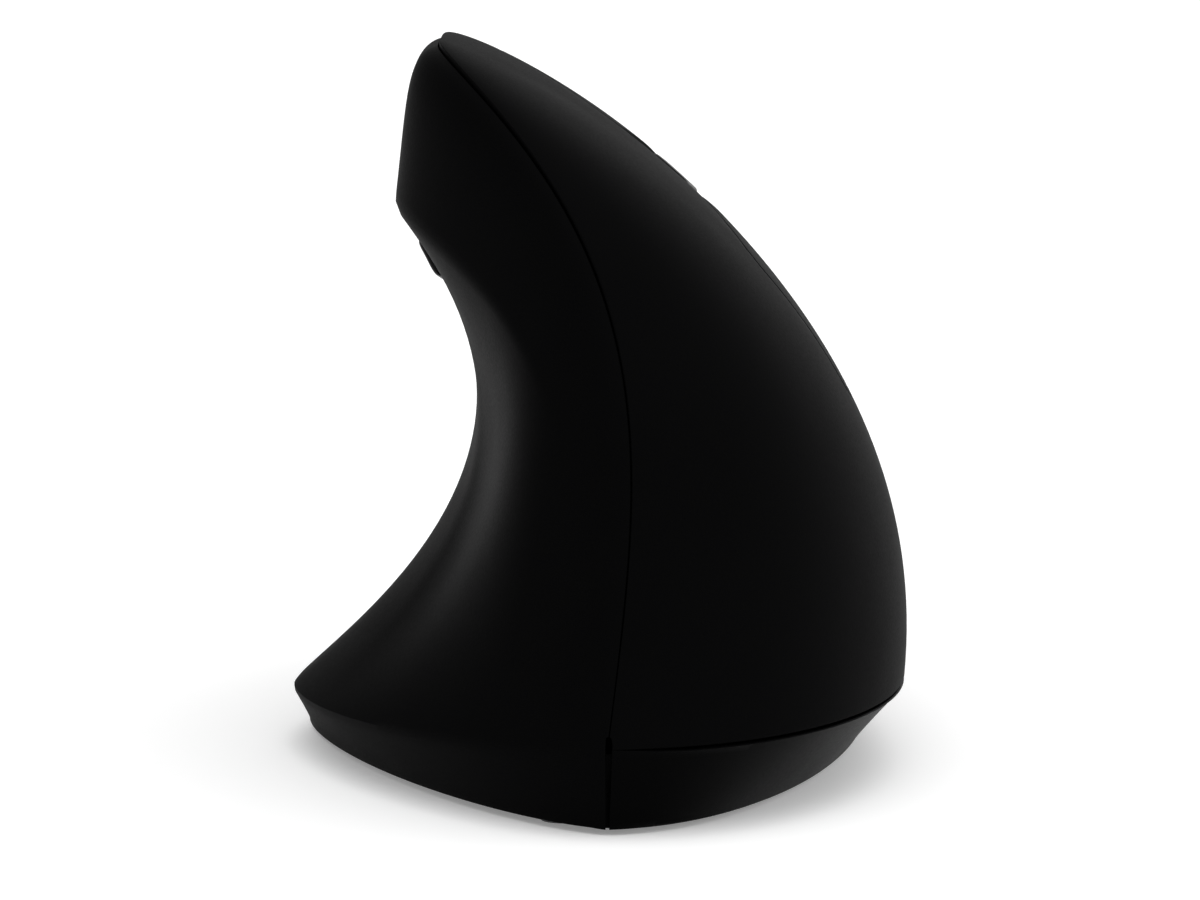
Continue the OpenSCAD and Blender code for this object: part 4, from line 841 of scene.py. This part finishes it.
def shifted(line, distance):
    """A line moved sideways to its right."""
    way = unit(np.gradient(line, axis=0))
    return line + distance * rows(way[:, 1], -way[:, 0])


def crossing(a, b):
    """Where two lines cross, as a place along each."""
    p, r, q, s = a[:-1, None], np.diff(a, axis=0)[:, None], b[None, :-1], np.diff(b, axis=0)[None]
    det = r[..., 0] * s[..., 1] - r[..., 1] * s[..., 0]
    det = np.where(np.abs(det) < 1e-12, 1e-12, det)
    d = q - p
    t = (d[..., 0] * s[..., 1] - d[..., 1] * s[..., 0]) / det
    u = (d[..., 0] * r[..., 1] - d[..., 1] * r[..., 0]) / det
    hit = np.argwhere((t >= 0) & (t <= 1) & (u >= 0) & (u <= 1))[0]
    return a[hit[0]] + t[tuple(hit)] * (a[hit[0] + 1] - a[hit[0]])


def outline(edges, radii):
    """A closed outline of lines run clockwise, with a round corner after each."""
    cut = []
    for k, line in enumerate(edges):
        after = edges[(k + 1) % len(edges)]
        centre = crossing(shifted(line, radii[k]), shifted(after, radii[k]))
        cut.append((centre, *[np.argmin(np.linalg.norm(side - centre, axis=1)) for side in (line, after)]))
    made = []
    for k, line in enumerate(edges):
        centre, last, opening = cut[k]
        made.append(line[cut[k - 1][2]:last + 1])
        start, end = line[last] - centre, edges[(k + 1) % len(edges)][opening] - centre
        a0, a1 = math.atan2(start[1], start[0]), math.atan2(end[1], end[0])
        turn = a0 + (((a1 - a0) + math.pi) % (2 * math.pi) - math.pi) * np.linspace(0.1, 0.9, 7)
        made.append(centre + radii[k] * rows(np.cos(turn), np.sin(turn)))
    return respaced(np.concatenate(made), 0.5)


def face_line(f, v):
    return to_fingers(palm(rows(f, v)))[:, :2]


window_top, window_bottom = 0.14 * palm_down, 0.745 * palm_down
window_front, window_rear, window_slant, window_back = 146.0, 100, 9, 13
corner_r = 2.5


def rear_station(v):
    """Station of the window's rear edge, which leans forwards over the bezel and runs farther back under it."""
    return (window_rear + window_slant * (1 - ease(window_top, 0.55 * palm_down, v))
            - window_back * ease(0.5 * palm_down, 0.6 * palm_down, v))


# The four edges run a little past their corners, where outline cuts them.
along_window = np.linspace(0, 1, 400)
down_window = window_top - 2 + (window_bottom - window_top + 4) * along_window
top_line = face_line(107 + 41 * along_window, window_top)
front_line = face_line(window_front, down_window)
bottom_line = face_line(148 - 64 * along_window, window_bottom)
rear_line = face_line(rear_station(down_window[::-1]), down_window[::-1])
window = outline([top_line, front_line, bottom_line, rear_line], [corner_r] * 4)
palm_outline = frame_loop((skin_start, 0), (skin_end, palm_down), 300, 92)
pivot_r, pivot_length, lug_width, lug_back, lug_reach = 1.2, 10, 2.0, 9.5, 2.3
pivots = [(x, *(1000 * np.array(next(j["pos_m"] for j in frame["joints"] if j["name"] == name))))
          for x, name in ((-13.5, "index_click"), (20.0, "middle_click"))]


def lug(pivot_x, pivot, side):
    """Bored lug under the window's rear edge, reaching back and up to the shell."""
    x = pivot_x + side * (pivot_length - lug_width) / 2
    y, z = to_fingers(np.array(pivot))[1:]
    back, riser = y - lug_back, 4.5
    roof = min(to_fingers(palm(near_fingers(palm, np.array([[x + dx, back + dy]]), (105, 40))))[0, 2]
               for dx in (-lug_width / 2, lug_width / 2) for dy in (0, riser)) - 0.7
    nose = [(y + lug_reach * math.cos(a), z + lug_reach * math.sin(a))
            for a in np.linspace(-math.pi / 2, math.pi / 2, 14)]
    rise_up = [(back + riser, z + lug_reach), (back + riser, roof), (back, roof), (back, z - lug_reach)]
    bore = rounded_box(y, z, 2.5, 2.5, 1.249)
    return panel(lambda q: on_fingers(rows(x + lug_width / 2, q[:, 0], q[:, 1])),
                 lambda q: rows(*finger_x) + 0 * q[:, :1], 1,
                 [respaced(np.array(nose + rise_up), 0.5), bore], (1.5, 1.5), 0.12, lug_width)


near_face = (112, 40)
palm_solids = [panel(palm, palm_out, -1, [palm_outline, near_fingers(palm, window, near_face)],
                     (1.1, 1.0), soft_ends(0.15, 0.25), wall, palm_through)]
# Tongues inside the seam and the lower edge reach behind the thumb shell and the strip, so no light comes through.
tongue_sunk = wall + 0.15
palm_solids += [panel(sunk(palm, palm_out, tongue_sunk), palm_out, -1,
                      [frame_loop((4, low), (176, low + 4), 220, 5)], (1.1, 1.0), 0.1, 0.8) for low in (-2, 77.5)]
palm_solids += [post(p) for p in palm_posts]
palm_solids += [lug(p[0], p[1:], side) for p in pivots for side in (-1, 1)]
piece("palm_shell_moulding", palm_solids, soft_black, "casing", "palm_shell")


# Click plates.
# Two thin coated plates follow the palm side; each rocks on a pivot bar under its rear edge
# and presses its switch with a peg.
half_bezel = 5.5
plate_thick = wall - 0.25
long_way = np.linspace(-60, 60, 400)
left_line, right_line = rows(-half_bezel - plate_gap, long_way), rows(half_bezel + plate_gap, -long_way)
inner = [shifted(line, plate_gap) for line in (top_line, front_line, bottom_line, rear_line)]
index_loop = outline([inner[0], left_line[::-1], inner[3]], [1, 1, corner_r])
middle_loop = outline([right_line[::-1], inner[1], inner[2], inner[3]], [1, corner_r, corner_r, 1])
board_face, switch_height, plunger_height, click_travel = -13.5, 6.5, 0.8, 0.35
peg_y, peg_foot = -3, board_face + switch_height + plunger_height + click_travel + 0.05
ear_half = 2.2


def face_height(x, y):
    return to_fingers(palm(near_fingers(palm, np.array([[x, y]], float), (118, 40))))[0, 2]


for name, body, loop, peg_x, pivot in (("index_button", "index_plate", index_loop, -9.5, pivots[0]),
                                       ("middle_button", "middle_plate", middle_loop, 14.0, pivots[1])):
    pivot_y, pivot_z = to_fingers(np.array(pivot[1:]))[1:]
    ear_top = min(face_height(pivot[0] + d, pivot_y) for d in (-ear_half, ear_half)) - wall / 2
    peg_length = face_height(peg_x, peg_y) - wall / 2 - peg_foot
    solids = [panel(palm, face_out, -1, [near_fingers(palm, loop, near_face)], (0.9, 0.9), 0.25, plate_thick,
                    palm_through),
              rod(on_fingers((peg_x, peg_y, peg_foot)), finger_z, 1.5, peg_length),
              block((pivot[0] - ear_half, pivot_y - pivot_r, pivot_z),
                    (pivot[0] + ear_half, pivot_y + pivot_r, ear_top), 0.2, on_fingers),
              rod(on_fingers((pivot[0] - pivot_length / 2, pivot_y, pivot_z)), finger_x, pivot_r, pivot_length, 0.2)]
    piece(name + "_plate", solids, soft_black, body, name)


# Bezel with the light pipe and the speed button.
# A glossy strip lies lower between the click plates on three legs; the wheel comes up through its slot,
# a clear pipe shows the indicator light, and a small key behind it changes the pointer speed.
bezel_gloss = moulded("bezel_gloss", (0.003, 0.003, 0.0032), 0.22, 0.15, 0.00001, 0.15)
bezel_sunk, bezel_thick = 0.8, 1.6
bezel_face = sunk(palm, face_out, bezel_sunk)
left_side, right_side = rows(-half_bezel, long_way), rows(half_bezel, -long_way)
bezel_loop = outline([left_side, inner[1], right_side, inner[3]], [0.6, 0.6, 0.6, 0.6])
axle_y = to_fingers(axle)[1]
wheel_r, slot_gap = 8.3, 0.7
slot_rear, slot_front = axle_y - 0.8 * wheel_r - slot_gap, axle_y + wheel_r + slot_gap
wheel_slot = rounded_box(0, (slot_rear + slot_front) / 2, 7.0, slot_front - slot_rear, 0.5)
speed_y, speed_width, speed_length, speed_corner = -15.4, 5, 8, 1.5
speed_hole = rounded_box(0, speed_y, speed_width + 2 * plate_gap, speed_length + 2 * plate_gap,
                         speed_corner + plate_gap)
light_hole = rounded_box(0, speed_y + speed_length / 2 + 1.5, 1.7, 1.7, 0.849)
bezel_loops = [near_fingers(bezel_face, loop, (120, 40))
               for loop in (bezel_loop, wheel_slot, speed_hole, light_hole)]
bezel_solids = [panel(bezel_face, face_out, -1, bezel_loops, (0.8, 0.8), 0.2, bezel_thick)]
leg_places = [(4.1, -7.5), (-4.1, -7.5), (0, 0.5)]
bezel_solids += [rod(on_fingers((x, y, board_face)), finger_z, 1.3, face_height(x, y) - bezel_thick - board_face)
                 for x, y in leg_places]
front_edge = float(face_line(window_front, np.array([palm_down / 2]))[0, 1])
tongue = near_fingers(palm, rounded_box(0, front_edge - 0.7, 6, 4.6, 0.3), (135, 40))
bezel_solids.append(panel(sunk(palm, face_out, tongue_sunk), face_out, -1, [tongue], (1, 1), 0.15, 0.9))
piece("bezel_strip", bezel_solids, bezel_gloss, "casing", "wheel_bezel")
dress(clear("light_pipe_clear", (0.85, 0.88, 0.9), 0.08), "light_pipe")

speed_loop = near_fingers(palm, rounded_box(0, speed_y, speed_width, speed_length, speed_corner), (110, 40))
speed_rear, speed_front = speed_y - speed_length / 2, speed_y + speed_length / 2
speed_roof = face_height(0, speed_rear) - bezel_sunk - bezel_thick - 0.7
speed_foot = -9.5
speed_solids = [panel(palm, face_out, -1, [speed_loop], (0.5, 0.5), 0.5, 3.0),
                block((-3.5, speed_rear, speed_roof - 1), (3.5, speed_front, speed_roof), 0.15, on_fingers),
                block((-1.5, speed_rear + 1, speed_roof - 0.5), (1.5, speed_front - 1, speed_roof + 2), 0.15,
                      on_fingers),
                rod(on_fingers((0, speed_y, speed_foot)), finger_z, 1.3, speed_roof - speed_foot)]
piece("speed_key_cap", speed_solids, cap_gloss, "speed_key", "speed_button")


# Screws.
# Four case screws come up through the base into the shells' posts, and shorter ones hold the boards and the frame;
# all are zinc-plated steel with a cross recess.
screw_zinc = brushed("screw_zinc", (0.6, 0.61, 0.62), 0.35, (1, 1, 0.2))
dress(screw_zinc, "case_screws", "board_screws")
